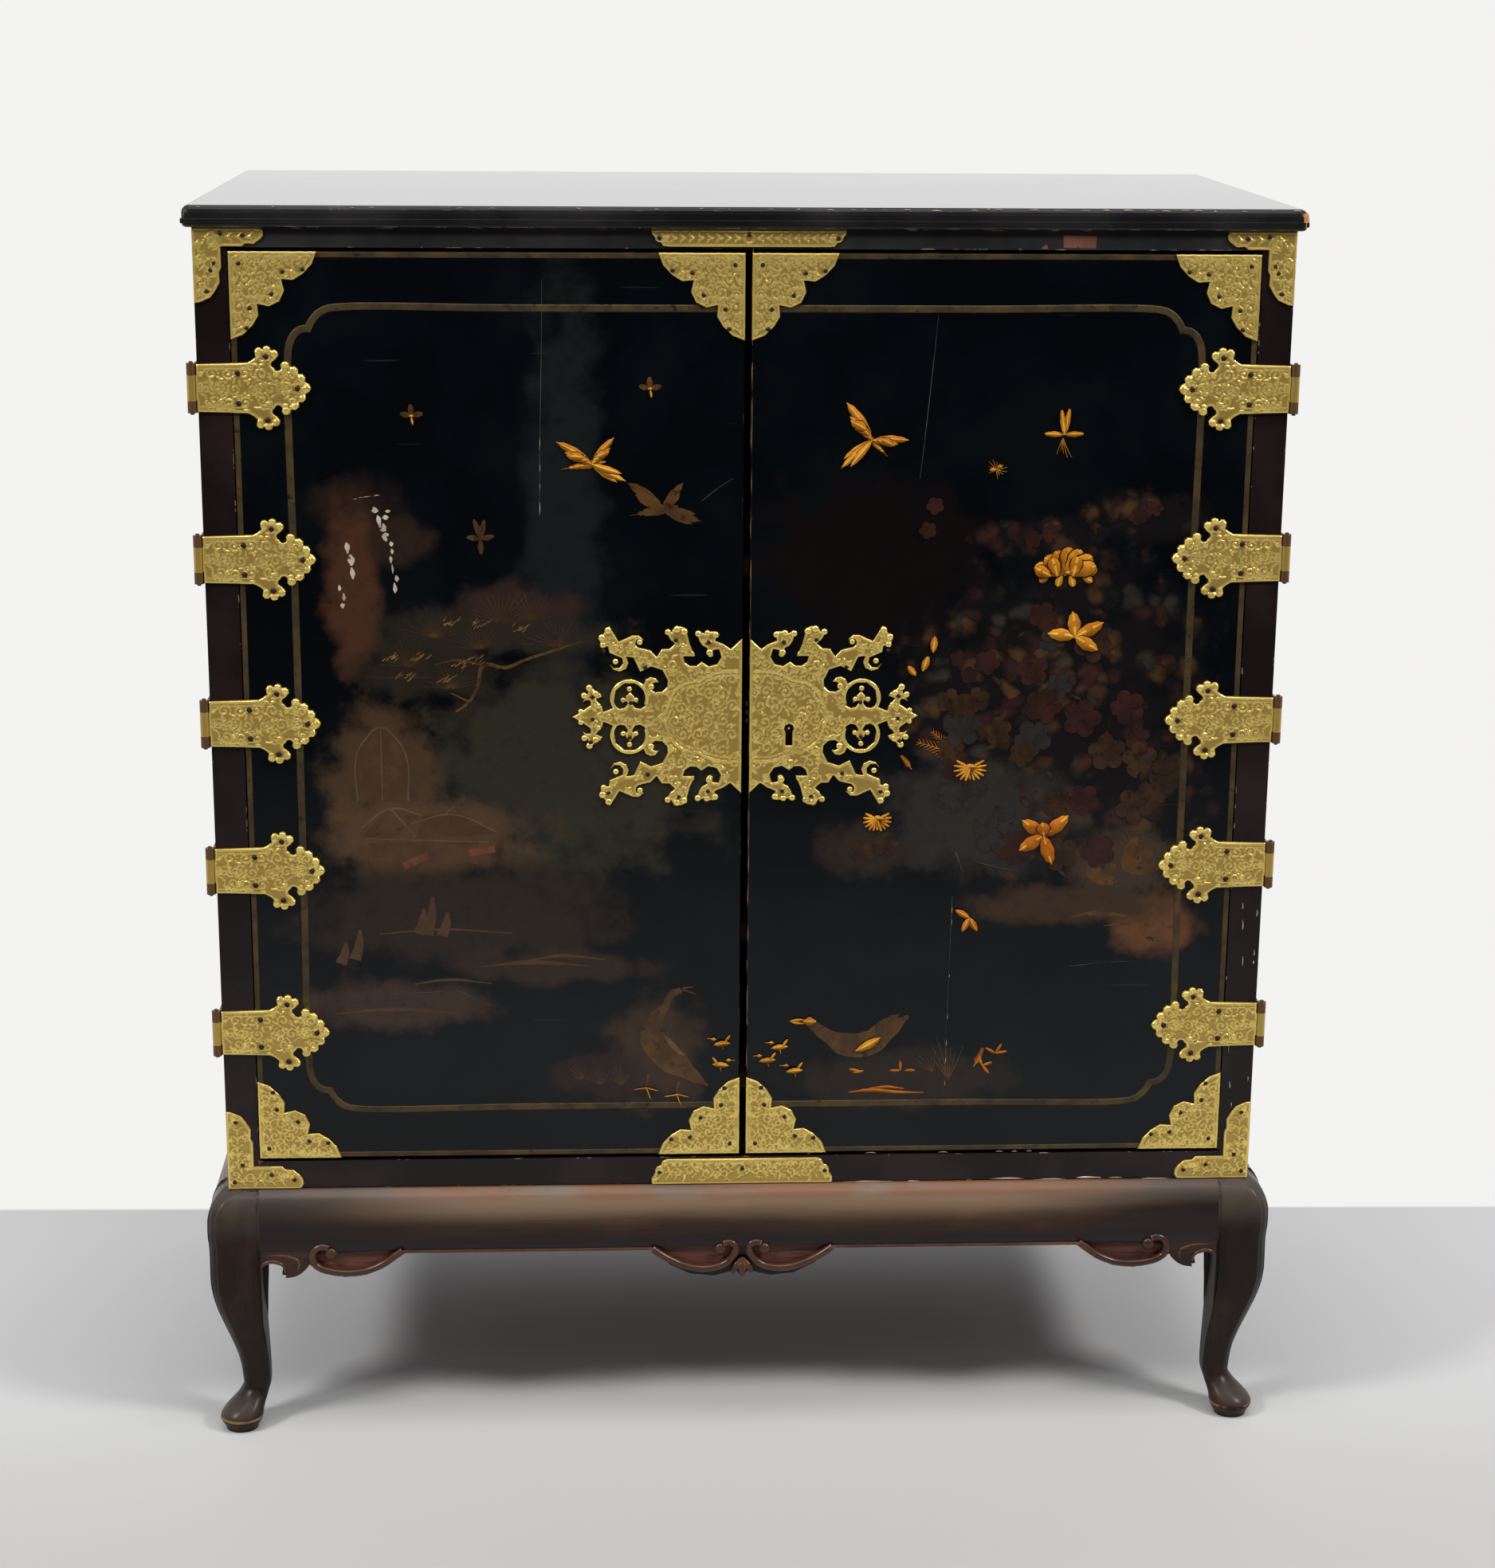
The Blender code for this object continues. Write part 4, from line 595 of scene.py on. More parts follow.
# %% Finishes on the frame's own solids
FINISHES = (
    ("leg_", LEG_WOOD), (("stand_rail_left", "stand_rail_right"), SIDE_RAIL_WOOD), ("stand_rail", RAIL_WOOD),
    ("top_board", EDGE_LACQUER), ("top_rail", RAIL_LACQUER), (("shelf", "bottom_board"), SHELF_WOOD),
    ("hinge_leaf", KNUCKLE_BRASS), ("lock_case", LOCK_BRASS), (("lock_bolt", "slide_bolt"), BOLT_STEEL),
    (("hinge_strap", "door_corner", "case_corner", "rail_mount", "escutcheon"), MOUNT_BRASS),
)


def finish_of(name):
    """The finish for one of the frame's solids."""
    if name in DOOR_FINISH:
        return DOOR_FINISH[name]
    for starts, material in FINISHES:
        if name.startswith(starts):
            return material
    return CASE_LACQUER


for name, solid in nodes.items():
    solid.data.materials.clear()
    solid.data.materials.append(finish_of(name))
print("finished", len(nodes), "solids")

# %% [markdown]
# ## Helpers for new pieces
# A piece is a mesh object that rides on one body of the frame. Two ways of making pieces serve
# nearly everything: a shape made with bmesh operators, and a bead, which is a curve with a round
# section whose width changes along it. A bead pressed flat is a brush stroke, a petal or a line.

# %% Helpers for pieces
LAYERS = 16
THINNEST_SMOOTH = 0.01
DOME_SHARE = 0.55
STANDING = Matrix.Rotation(math.pi / 2, 4, "X")


def add_piece(name, mesh, material, body):
    """Puts a finished mesh into the scene, riding on a body."""
    mesh.materials.clear()
    mesh.materials.append(material)
    piece = bpy.data.objects.new(name, mesh)
    bpy.context.scene.collection.objects.link(piece)
    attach(piece, body)
    return piece


def mesh_from(shape, name, angle=40.0):
    """Closes a bmesh into a smooth mesh with sharp edges above an angle."""
    bmesh.ops.recalc_face_normals(shape, faces=shape.faces)
    mesh = bpy.data.meshes.new(name)
    shape.to_mesh(mesh)
    shape.free()
    mesh.shade_smooth()
    mesh.set_sharp_from_angle(angle=math.radians(angle))
    return mesh


def curve_piece(name, curve, place, material, body, smooth=True):
    """Turns a curve into a mesh piece and puts its place into the mesh."""
    drawn = bpy.data.objects.new(name, curve)
    bpy.context.scene.collection.objects.link(drawn)
    depsgraph = bpy.context.evaluated_depsgraph_get()
    mesh = bpy.data.meshes.new_from_object(drawn.evaluated_get(depsgraph))
    bpy.data.objects.remove(drawn)
    bpy.data.curves.remove(curve)
    mesh.name = name
    mesh.transform(place)
    if smooth:
        mesh.shade_smooth()
    else:
        mesh.shade_flat()
    return add_piece(name, mesh, material, body)


def bead(name, lines, y, thick, material, body, sides=2, steps=5, lift=0.0):
    """Flattened beads along lines of (across, up, half width) in mm, each a lift above the one before."""
    curve = bpy.data.curves.new(name, "CURVE")
    curve.dimensions = "3D"
    curve.bevel_depth = 1.0
    curve.bevel_resolution = sides
    curve.resolution_u = steps
    curve.use_fill_caps = True
    for number, line in enumerate(lines):
        out = -(number % LAYERS) * lift * MM / thick
        spline = curve.splines.new("BEZIER")
        spline.radius_interpolation = "EASE"
        spline.bezier_points.add(len(line) - 1)
        for point, (x, z, half) in zip(spline.bezier_points, line):
            point.co = (x * MM, out, z * MM)
            point.radius = half * MM
            point.handle_left_type = "AUTO"
            point.handle_right_type = "AUTO"
    place = Matrix.Translation((0, y, 0)) @ Matrix.Diagonal((1, thick, 1, 1))
    return curve_piece(name, curve, place, material, body, thick > THINNEST_SMOOTH)


def filled_curve(name, thick):
    """A flat curve that fills its outlines and has a thickness."""
    curve = bpy.data.curves.new(name, "CURVE")
    curve.dimensions = "2D"
    curve.fill_mode = "BOTH"
    curve.extrude = thick
    return curve


def standing_at(y):
    """The place of a flat drawing that is stood up, a depth away from the middle."""
    return Matrix.Translation((0, y, 0)) @ STANDING


def add_dome(shape, x, y, z, radius, sides, rings):
    """A low dome on the front: a sphere pressed flat."""
    dome = Matrix.Translation((x, y, z)) @ Matrix.Diagonal((1, DOME_SHARE, 1, 1)) @ STANDING
    bmesh.ops.create_uvsphere(shape, u_segments=sides, v_segments=rings, radius=radius, matrix=dome)


# %% [markdown]
# ## The stand's rounded wood
# The solids of the stand are made of flat facets. A spokeshave leaves no facets, so each leg and rail
# is stood for by a smooth copy of itself: its corners are merged, and the legs are subdivided with
# creases along the edges that stay sharp, where they meet the rails and the case. Subdividing draws
# a shape in, so the corners are pushed out by as much until the smooth leg has the solid's size.

# %% Smooth legs and rails
CREASE_ANGLE = math.radians(62)


def smooth_copy(name, rounded):
    """A smooth stand-in for a faceted solid of the stand."""
    shape = bmesh.new()
    shape.from_mesh(nodes[name].data)
    bmesh.ops.remove_doubles(shape, verts=shape.verts, dist=1e-5)
    bmesh.ops.recalc_face_normals(shape, faces=shape.faces)
    bmesh.ops.join_triangles(shape, faces=shape.faces, angle_face_threshold=0.5, angle_shape_threshold=0.9)
    crease = shape.edges.layers.float.new("crease_edge")
    for edge in shape.edges:
        edge[crease] = 1.0 if edge.calc_face_angle(0.0) > CREASE_ANGLE else 0.0
    mesh = mesh_from(shape, name + "_smooth", 62.0 if rounded else 34.0)
    piece = add_piece(name + "_smooth", mesh, finish_of(name), "cabinet")
    if rounded:
        turned = piece.modifiers.new("rounded", "SUBSURF")
        turned.levels = turned.render_levels = 2
        home = [vertex.co.copy() for vertex in mesh.vertices]
        for _ in range(3):
            drawn = piece.evaluated_get(bpy.context.evaluated_depsgraph_get()).data
            for vertex, place, now in zip(mesh.vertices, home, drawn.vertices):
                vertex.co += place - now.co
            mesh.update()
    else:
        even = piece.modifiers.new("even_shading", "WEIGHTED_NORMAL")
        even.keep_sharp = True
    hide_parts(name)
    return len(mesh.polygons)


for name in nodes:
    if name.startswith(("leg_", "stand_rail_")):
        print(name, "smooth copy:", smooth_copy(name, name.startswith("leg_")), "faces")

# %% [markdown]
# ## Chased brass mounts
# On the real cabinet the mounts are cast and chased: a bright rim runs round each outline, and
# inside it scrolls and leaves stand up from a punched ground. The flat front of each solid is
# copied, cut into a fine grid with planes, and every point is raised by a height that depends on
# how near the outline and the nearest drawn scroll are. One such sheet serves all mounts of its
# kind, mirrored into place.

# %% Sheets and heights
GRID_PITCH = 1.0 * MM
SHEET_EDGE, SHEET_ROUND, SHEET_RISE = 0.12 * MM, 1.2 * MM, 0.42 * MM
CREST_IN, CREST_WIDE, CREST_RISE = 1.3 * MM, 0.75 * MM, 0.50 * MM
CHASED_IN, CHASED_FADE = 1.8 * MM, 0.8 * MM
HAMMER_RISE, HAMMER_SCALE = 0.05 * MM, 700
SCROLL_HALF, SIDE_LEAF_HALF, ROW_SHARE, JITTER = 0.95 * MM, 0.9 * MM, 0.87, 0.12
NARROW, NARROW_SPACING, NARROW_MARGIN, NARROW_SEED = 6.0 * MM, 8.0 * MM, 2.9 * MM, 50


def flat_front(name, y):
    """The flat front of a solid as a bmesh, merged."""
    shape = bmesh.new()
    shape.from_mesh(nodes[name].data)
    bmesh.ops.remove_doubles(shape, verts=shape.verts, dist=1e-6)
    other = [f for f in shape.faces if abs(f.calc_center_median().y - y) > 2e-5 or abs(f.normal.y) < 0.9]
    bmesh.ops.delete(shape, geom=other, context="FACES")
    return shape


def cut_grid(shape, pitch):
    """Cuts a flat sheet with planes across and planes up, a pitch apart."""
    for axis in (0, 2):
        places = [v.co[axis] for v in shape.verts]
        low, high = min(places), max(places)
        normal = Vector((1, 0, 0)) if axis == 0 else Vector((0, 0, 1))
        for i in range(1, math.ceil((high - low) / pitch)):
            geometry = shape.verts[:] + shape.edges[:] + shape.faces[:]
            bmesh.ops.bisect_plane(shape, geom=geometry, dist=1e-7,
                                   plane_co=normal * (low + i * pitch), plane_no=normal)


def tree_of(points):
    """A look-up of the nearest of many points on the front plane."""
    tree = kdtree.KDTree(len(points))
    for i, (x, z) in enumerate(points):
        tree.insert((x, 0.0, z), i)
    tree.balance()
    return tree


def outline_tree(shape):
    """A look-up of the sheet's outline."""
    points = []
    for edge in shape.edges:
        if edge.is_boundary:
            a, b = edge.verts[0].co, edge.verts[1].co
            points += [(a.x, a.z), ((a.x + b.x) / 2, (a.z + b.z) / 2)]
    return tree_of(points)


def spiral(x, z, radius, start, turns, count=26):
    """A scroll that winds in from its outer end, in metres."""
    line = []
    for i in range(count):
        share = i / (count - 1)
        angle = start + turns * 2 * math.pi * share
        reach = radius * (1 - 0.82 * share)
        line.append((x + reach * math.cos(angle), z + reach * math.sin(angle)))
    return line


def ring(x, z, radius, count=24):
    """A circle of points."""
    return [(x + radius * math.cos(2 * math.pi * i / count), z + radius * math.sin(2 * math.pi * i / count))
            for i in range(count)]


def segment(x0, z0, x1, z1, bow=0.0, count=16):
    """A line between two points, bowed to its left by a share of its length."""
    line = []
    for i in range(count):
        share = i / (count - 1)
        push = bow * 4 * share * (1 - share)
        line.append((x0 + (x1 - x0) * share - (z1 - z0) * push, z0 + (z1 - z0) * share + (x1 - x0) * push))
    return line


def scrollwork(shape, outline, spacing, margin, seed, keep_clear=(), widest=1.0):
    """Scrolls and leaves that fill a sheet, or only its narrow parts, turning left and right like a vine."""
    chance = Random(seed)
    inside = tree_of([(v.co.x, v.co.z) for v in shape.verts])
    xs, zs = [v.co.x for v in shape.verts], [v.co.z for v in shape.verts]
    lines = []
    rows = math.ceil((max(zs) - min(zs)) / (spacing * ROW_SHARE))
    columns = math.ceil((max(xs) - min(xs)) / spacing)
    for row in range(rows + 1):
        for column in range(columns + 1):
            x = min(xs) + (column + 0.5 * (row % 2)) * spacing + chance.uniform(-JITTER, JITTER) * spacing
            z = min(zs) + row * spacing * ROW_SHARE + chance.uniform(-JITTER, JITTER) * spacing
            turn = chance.uniform(0, 2 * math.pi)
            away = outline.find((x, 0, z))[2]
            if inside.find((x, 0, z))[2] > 1.5 * MM or not margin < away < widest:
                continue
            if any(math.hypot(x - cx, z - cz) < reach for cx, cz, reach in keep_clear):
                continue
            size = min(spacing * 0.40, away - 1.6 * MM)
            way = 1 if (row + column) % 2 else -1
            lines.append((spiral(x, z, size, turn, way * 1.25), SCROLL_HALF))
            for side in (0.6, 2.4, 4.2):
                a = turn + way * side
                b = a + way * 0.55
                leaf = segment(x + 1.1 * size * math.cos(a), z + 1.1 * size * math.sin(a),
                               x + 1.6 * size * math.cos(b), z + 1.6 * size * math.sin(b), 0.15, 8)
                lines.append((leaf, SIDE_LEAF_HALF))
    return lines


def raised_sheet(name, source, y, drawing, height=0.95, spacing=15.0, margin=4.0, seed=1, domes=()):
    """A chased sheet over the front of a solid, built where that solid is."""
    shape = flat_front(source, y)
    cut_grid(shape, GRID_PITCH)
    outline = outline_tree(shape)
    clear = [(x, z, reach) for x, z, reach, _ in domes]
    lines = list(drawing) + scrollwork(shape, outline, spacing * MM, margin * MM, seed, clear)
    lines += scrollwork(shape, outline, NARROW_SPACING, NARROW_MARGIN, seed + NARROW_SEED, clear, NARROW)
    points = [(point, half) for line, half in lines for point in line]
    nearest = tree_of([point for point, _ in points])
    halves = [half for _, half in points]
    raised = shape.verts.layers.float.new("raised")
    made = bmesh.ops.extrude_face_region(shape, geom=shape.faces[:], use_keep_orig=True)
    for vertex in [v for v in made["geom"] if isinstance(v, bmesh.types.BMVert)]:
        x, z = vertex.co.x, vertex.co.z
        edge = outline.find((x, 0, z))[2]
        rounded = math.sqrt(max(0.0, 1 - (1 - min(edge / SHEET_ROUND, 1)) ** 2))
        crest = math.exp(-((edge - CREST_IN) / CREST_WIDE) ** 2)
        rise = SHEET_EDGE + SHEET_RISE * rounded + CREST_RISE * crest
        if edge > CHASED_IN:
            _, i, away = nearest.find((x, 0, z))
            ridge = max(0.0, 1 - (away / halves[i]) ** 2) * min(1, (edge - CHASED_IN) / CHASED_FADE)
            rise += height * MM * ridge + HAMMER_RISE * noise.noise(Vector((x, 0, z)) * HAMMER_SCALE)
            crest = max(crest, ridge)
        for cx, cz, reach, swell in domes:
            dome = max(0.0, 1 - (math.hypot(x - cx, z - cz) / reach) ** 2)
            rise += swell * MM * dome
            crest = max(crest, dome)
        vertex.co.y = y - rise
        vertex[raised] = crest
    print(name, "sheet:", len(shape.faces), "faces with", len(lines), "chased lines")
    return mesh_from(shape, name, 60.0)


def placed(mesh, name, source_at, target_at, across, up, body):
    """A copy of a sheet, mirrored about a point of its source and moved to another point."""
    copy = mesh.copy()
    mirrored = Matrix.Diagonal((across, 1, up, 1))
    copy.transform(Matrix.Translation(target_at) @ mirrored @ Matrix.Translation(-source_at))
    if across * up < 0:
        copy.flip_normals()
    return add_piece(name, copy, MOUNT_BRASS, body)


# %% [markdown]
# The strap hinge is a band with two ears of three lobes and a scalloped point. Two rosettes sit on
# its axis, and a pair of lines follows the band's edges.

# %% Hinge straps
SIDES = (("left", -1), ("right", 1))
ENDS = (("top", 1), ("bottom", -1))
BODY = {"left": "left_door", "right": "right_door"}


def hinge_places(side):
    """The middle of each knuckle of a side, from top to bottom."""
    places = []
    for number in range(1, 6):
        low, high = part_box(f"hinge_leaf_{side}_{number}")
        places.append(Vector((hinge_axis[BODY[side]][0], 0, (low.z + high.z) / 2)))
    return places


STRAP_AT = hinge_places("left")[0]


def on_strap(u, v):
    """A point of the first left strap: along it from the axis, and above its middle."""
    return STRAP_AT.x + u * MM, STRAP_AT.z + v * MM


def strap_drawing():
    """Rosettes, edge lines and a stem along the strap."""
    lines = []
    for u, v, radius in ((58, 0, 6.5), (80, 0, 5.0), (26, 0, 6.0)):
        x, z = on_strap(u, v)
        lines.append((ring(x, z, radius * MM), 0.8 * MM))
        lines.append((ring(x, z, radius * 0.45 * MM, 14), 0.8 * MM))
        for i in range(6):
            a = math.pi / 3 * i
            tip = x + 0.9 * radius * MM * math.cos(a), z + 0.9 * radius * MM * math.sin(a)
            lines.append((segment(x, z, *tip, 0.1, 6), 0.6 * MM))
    for side in (-1, 1):
        lines.append((segment(*on_strap(7, 16.5 * side), *on_strap(47, 16.5 * side), 0, 40), 0.9 * MM))
        lines.append((segment(*on_strap(66, 10 * side), *on_strap(94, 5 * side), -0.16 * side, 30), 0.7 * MM))
    return lines


LOBES = ((57.2, 29.6, 4.0), (64.8, 34.2, 4.4), (72.4, 30.0, 4.0), (80.5, 20.8, 4.2), (89.0, 16.0, 4.0),
         (95.2, 9.0, 3.6))
LOBE_SPARE, LOBE_SWELL, POINT_LOBE, POINT_SWELL = 0.3, 1.5, (99.5, 4.2), 1.3
strap_domes = [(*on_strap(u, v * side), (reach + LOBE_SPARE) * MM, LOBE_SWELL)
               for u, v, reach in LOBES for side in (-1, 1)]
strap_domes.append((*on_strap(POINT_LOBE[0], 0), POINT_LOBE[1] * MM, POINT_SWELL))
strap_sheet = raised_sheet("strap", "hinge_strap_left_1", STRAP_FRONT, strap_drawing(), spacing=14.0, seed=3,
                           domes=strap_domes)
for side, sign in SIDES:
    for number, place in enumerate(hinge_places(side), start=1):
        placed(strap_sheet, f"strap_relief_{side}_{number}", STRAP_AT, place, -sign, 1, BODY[side])
bpy.data.meshes.remove(strap_sheet)

# %% [markdown]
# A door corner has a plain raised border along its two straight edges and leaf sprays along both
# arms, which meet in a rosette. The case corners and the long mounts on the two rails carry the
# same leaves.

# %% Door corners
def spray(x, z, way_x, way_z, count, step, leaf):
    """Pairs of leaves along a stem, in metres."""
    lines = [(segment(x, z, x + way_x * count * step, z + way_z * count * step, 0, 6 * count), 0.55 * MM)]
    for i in range(count):
        px, pz = x + way_x * (i + 0.2) * step, z + way_z * (i + 0.2) * step
        for side in (-1, 1):
            tip_x = px + leaf * (0.75 * way_x - side * 0.66 * way_z)
            tip_z = pz + leaf * (0.75 * way_z + side * 0.66 * way_x)
            lines.append((segment(px, pz, tip_x, tip_z, -0.18 * side, 10), 0.8 * MM))
    return lines


def corner_drawing(x, z, across, up):
    """Border, sprays and rosette of a door corner from its square corner."""
    def at(a, b):
        return x + across * a * MM, z + up * b * MM
    lines = [(segment(*at(3.6, 3.6), *end, 0, 70), 0.7 * MM) for end in (at(70, 3.6), at(3.6, 70))]
    lines += spray(*at(24, 10.5), across, 0, 5, 8.0 * MM, 7.5 * MM)
    lines += spray(*at(10.5, 24), 0, up, 5, 8.0 * MM, 7.5 * MM)
    cx, cz = at(30, 30)
    for radius in (9.0, 5.5, 2.4):
        lines.append((ring(cx, cz, radius * MM), 0.8 * MM))
    lines.append((spiral(*at(14, 14), 6 * MM, 0.6, 1.4), 0.8 * MM))
    return lines


def corner_point(name, right_side, top_side):
    """The square outer corner of a mount's box."""
    low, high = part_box(name)
    return Vector((high.x if right_side else low.x, 0, high.z if top_side else low.z))


def door_corners(side, sign):
    """Each corner mount of a door: its name, its square corner and the ways along its two arms."""
    for end, up_sign in ENDS:
        for edge, across in (("outer", -sign), ("inner", sign)):
            name = f"door_corner_{side}_{end}_{edge}"
            yield name, corner_point(name, across < 0, end == "top"), across, up_sign


first, corner_at, _, _ = next(door_corners("left", -1))
corner_lines = corner_drawing(corner_at.x, corner_at.z, 1, -1)
corner_sheet = raised_sheet("door_corner", first, MOUNT_FRONT, corner_lines, seed=5)
for side, sign in SIDES:
    for name, target, across, up_sign in door_corners(side, sign):
        name = name.replace("door_corner", "corner_relief")
        placed(corner_sheet, name, corner_at, target, across, up_sign, BODY[side])
bpy.data.meshes.remove(corner_sheet)

# %% Case corners and rail mounts
for end, up_sign in ENDS:
    name = f"case_corner_{end}_left"
    at = corner_point(name, False, end == "top")
    lines = spray(at.x + 9 * MM, at.z - up_sign * 8 * MM, 1, 0, 5, 9 * MM, 6.5 * MM)
    lines += spray(at.x + 10 * MM, at.z - up_sign * 20 * MM, 0, -up_sign, 5, 8.5 * MM, 7.5 * MM)
    sheet = raised_sheet(f"case_corner_{end}", name, MOUNT_FRONT, lines, margin=5.0, seed=8)
    for side, sign in SIDES:
        target = corner_point(f"case_corner_{end}_{side}", sign > 0, end == "top")
        placed(sheet, f"case_corner_relief_{end}_{side}", at, target, -sign, 1, "cabinet")
    bpy.data.meshes.remove(sheet)
    low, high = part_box(f"rail_mount_{end}")
    middle = (low + high) / 2
    lines = []
    for sign in (-1, 1):
        lines += spray(middle.x + sign * 6 * MM, middle.z, sign, 0, 9, 7.8 * MM, 0.42 * (high.z - low.z))
    lines.append((ring(middle.x, middle.z, 4 * MM), 0.8 * MM))
    sheet = raised_sheet(f"rail_mount_{end}", f"rail_mount_{end}", MOUNT_FRONT, lines, margin=9.0, seed=9)
    placed(sheet, f"rail_mount_relief_{end}", middle, middle, 1, 1, "cabinet")
    bpy.data.meshes.remove(sheet)

# %% [markdown]
# The lock plate is the showpiece: two halves, pierced, with scrolled arms and a fleur at each tip.
# A cartouche of two ogee lines stands round its middle, filled with scrolls, and the rim of every
# piercing is bright.

# %% Lock plate
def plate_middle(side, sign):
    """The middle of the meeting edge of one half of the plate."""
    low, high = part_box(f"escutcheon_{side}")
    return Vector((low.x if sign > 0 else high.x, 0, (low.z + high.z) / 2))


def plate_drawing(x, z, across):
    """Cartouche and stems of one half of the lock plate, from the middle of its meeting edge."""
    def at(a, b):
        return x + across * a * MM, z + b * MM
    lines = []
    for grow, half in ((0.0, 0.8 * MM), (4.0, 1.6 * MM)):
        for side in (-1, 1):
            bow = side * across
            shoulder, cheek = at(38, (29 + grow) * side), at(62 + grow, 10 * side)
            lines.append((segment(*at(4, (37 + grow) * side), *shoulder, 0.10 * bow, 40), half))
            lines.append((segment(*shoulder, *cheek, 0.20 * bow, 36), half))
            lines.append((segment(*cheek, *at(70 + grow, 0), -0.12 * bow, 14), half))
    for side in (-1, 1):
        lines.append((segment(*at(74, 14 * side), *at(112, 60 * side), 0.14 * side * across, 46), 0.7 * MM))
        lines.append((segment(*at(46, 46 * side), *at(56, 70 * side), 0.10 * side * across, 26), 0.7 * MM))
    lines.append((segment(*at(112, 0), *at(146, 0), 0, 30), 0.7 * MM))
    for a, b, radius in ((22, 14, 9), (22, -16, 9), (46, 0, 10)):
        lines.append((spiral(*at(a, b), radius * MM, 0.5 * a, 1.9 * across, 44), 0.8 * MM))
    return lines


for side, sign in SIDES:
    at = plate_middle(side, sign)
    sheet = raised_sheet(f"lock_plate_{side}", f"escutcheon_{side}", MOUNT_FRONT,
                         plate_drawing(at.x, at.z, sign), height=1.1, margin=3.4, seed=12)
    placed(sheet, f"lock_plate_relief_{side}", at, at, 1, 1, BODY[side])
    bpy.data.meshes.remove(sheet)

# %% [markdown]
# The rings round the piercings are as round as wire, and the lobes of the plate end in small balls, so
# beads and low domes of the same brass are laid over the flat cut outline.

# %% Rings and lobes of the lock plate
RING_AT, RING_RADIUS, RING_HALF = (100.2, 17.0), 15.7, 1.6
RING_START, RING_SWEEP, RING_STEPS = 200, 236, 14
BALL_SIDES, BALL_RINGS = 14, 8
LOBE_BALLS = ((130.5, 21, 3.0), (136, 26.5, 3.0), (140.5, 19.5, 2.8), (128, 10, 2.6), (143.5, 5.0, 2.4),
              (119, 78.5, 3.2), (124.5, 72, 3.2), (123.5, 65.5, 2.8), (51.5, 77.5, 3.2), (58, 79.5, 3.2),
              (66, 77, 2.8), (23.5, 74.5, 2.9), (31, 76, 2.7), (39, 75.5, 2.9), (29, 58.5, 3.0),
              (112.5, 50.5, 2.6), (81, 27.5, 2.9), (91, 68, 2.6), (100.2, 25.5, 2.4), (94.5, 15.5, 2.2),
              (106, 15.5, 2.2))


def shining(piece):
    """Marks a piece of brass as raised all over, which keeps it bright."""
    raised = piece.data.attributes.new("raised", "FLOAT", "POINT")
    raised.data.foreach_set("value", [1.0] * len(piece.data.vertices))


for side, sign in SIDES:
    at = plate_middle(side, sign) / MM
    wires = []
    shape = bmesh.new()
    for up_sign in (-1, 1):
        turn = [math.radians(RING_START - RING_SWEEP * i / RING_STEPS) for i in range(RING_STEPS + 1)]
        wires.append([(at.x + sign * (RING_AT[0] + RING_RADIUS * math.cos(a)),
                       at.z + up_sign * (RING_AT[1] + RING_RADIUS * math.sin(a)), RING_HALF) for a in turn])
        for a, b, radius in LOBE_BALLS:
            x, z = (at.x + sign * a) * MM, (at.z + up_sign * b) * MM
            add_dome(shape, x, MOUNT_FRONT, z, radius * MM, BALL_SIDES, BALL_RINGS)
    rings = bead(f"plate_rings_{side}", wires, MOUNT_FRONT, 0.7, MOUNT_BRASS, BODY[side],
                 steps=3)
    name = f"plate_lobes_{side}"
    lobes = add_piece(name, mesh_from(shape, name), MOUNT_BRASS, BODY[side])
    for piece in (rings, lobes):
        shining(piece)
print("rings and lobes on the lock plate:", 2 * len(LOBE_BALLS), "balls on each half")

# %% [markdown]
# ## Nails
# Every mount is fixed with small round-headed nails, which have gone nearly black. Each is a low
# dome, made from a sphere pressed flat, and all nails of a body are one piece.

# %% Nails
STRAP_NAILS = [(40, 13), (40, -13), (91, 0), (64.5, 27.5), (64.5, -27.5)]
CORNER_NAILS = [(9, 10), (46, 17), (63, 15), (36, 36), (17, 48), (14, 65)]
CASE_TOP_NAILS = [(24, 5), (43, 6.5), (18, 30), (15, 36), (11, 54)]
CASE_BOTTOM_NAILS = [(9, 66), (14, 24), (6, 7), (61, 9), (40, 14)]
PLATE_NAILS = [(123, 60), (86, 45), (59, 70), (30, 68), (133, 18.5), (99, 13), (133, -2), (100, -19),
               (135, -23), (84, -53), (119, -70), (56, -74), (30, -69)]
RAIL_NAILS = [(-77, 0), (0, 3), (77, 0)]
NAIL_RADIUS, STRAP_NAIL_RADIUS, NAIL_RISE = 2.0 * MM, 2.6 * MM, 1.0 * MM
NAIL_SIDES, NAIL_RINGS = 12, 6
NAIL_POINTS = NAIL_SIDES * (NAIL_RINGS - 1) + 2


def add_nail(shape, x, z, y=MOUNT_FRONT, radius=NAIL_RADIUS):
    """A low domed head that stands out of a mount's front."""
    add_dome(shape, x, y - NAIL_RISE, z, radius, NAIL_SIDES, NAIL_RINGS)


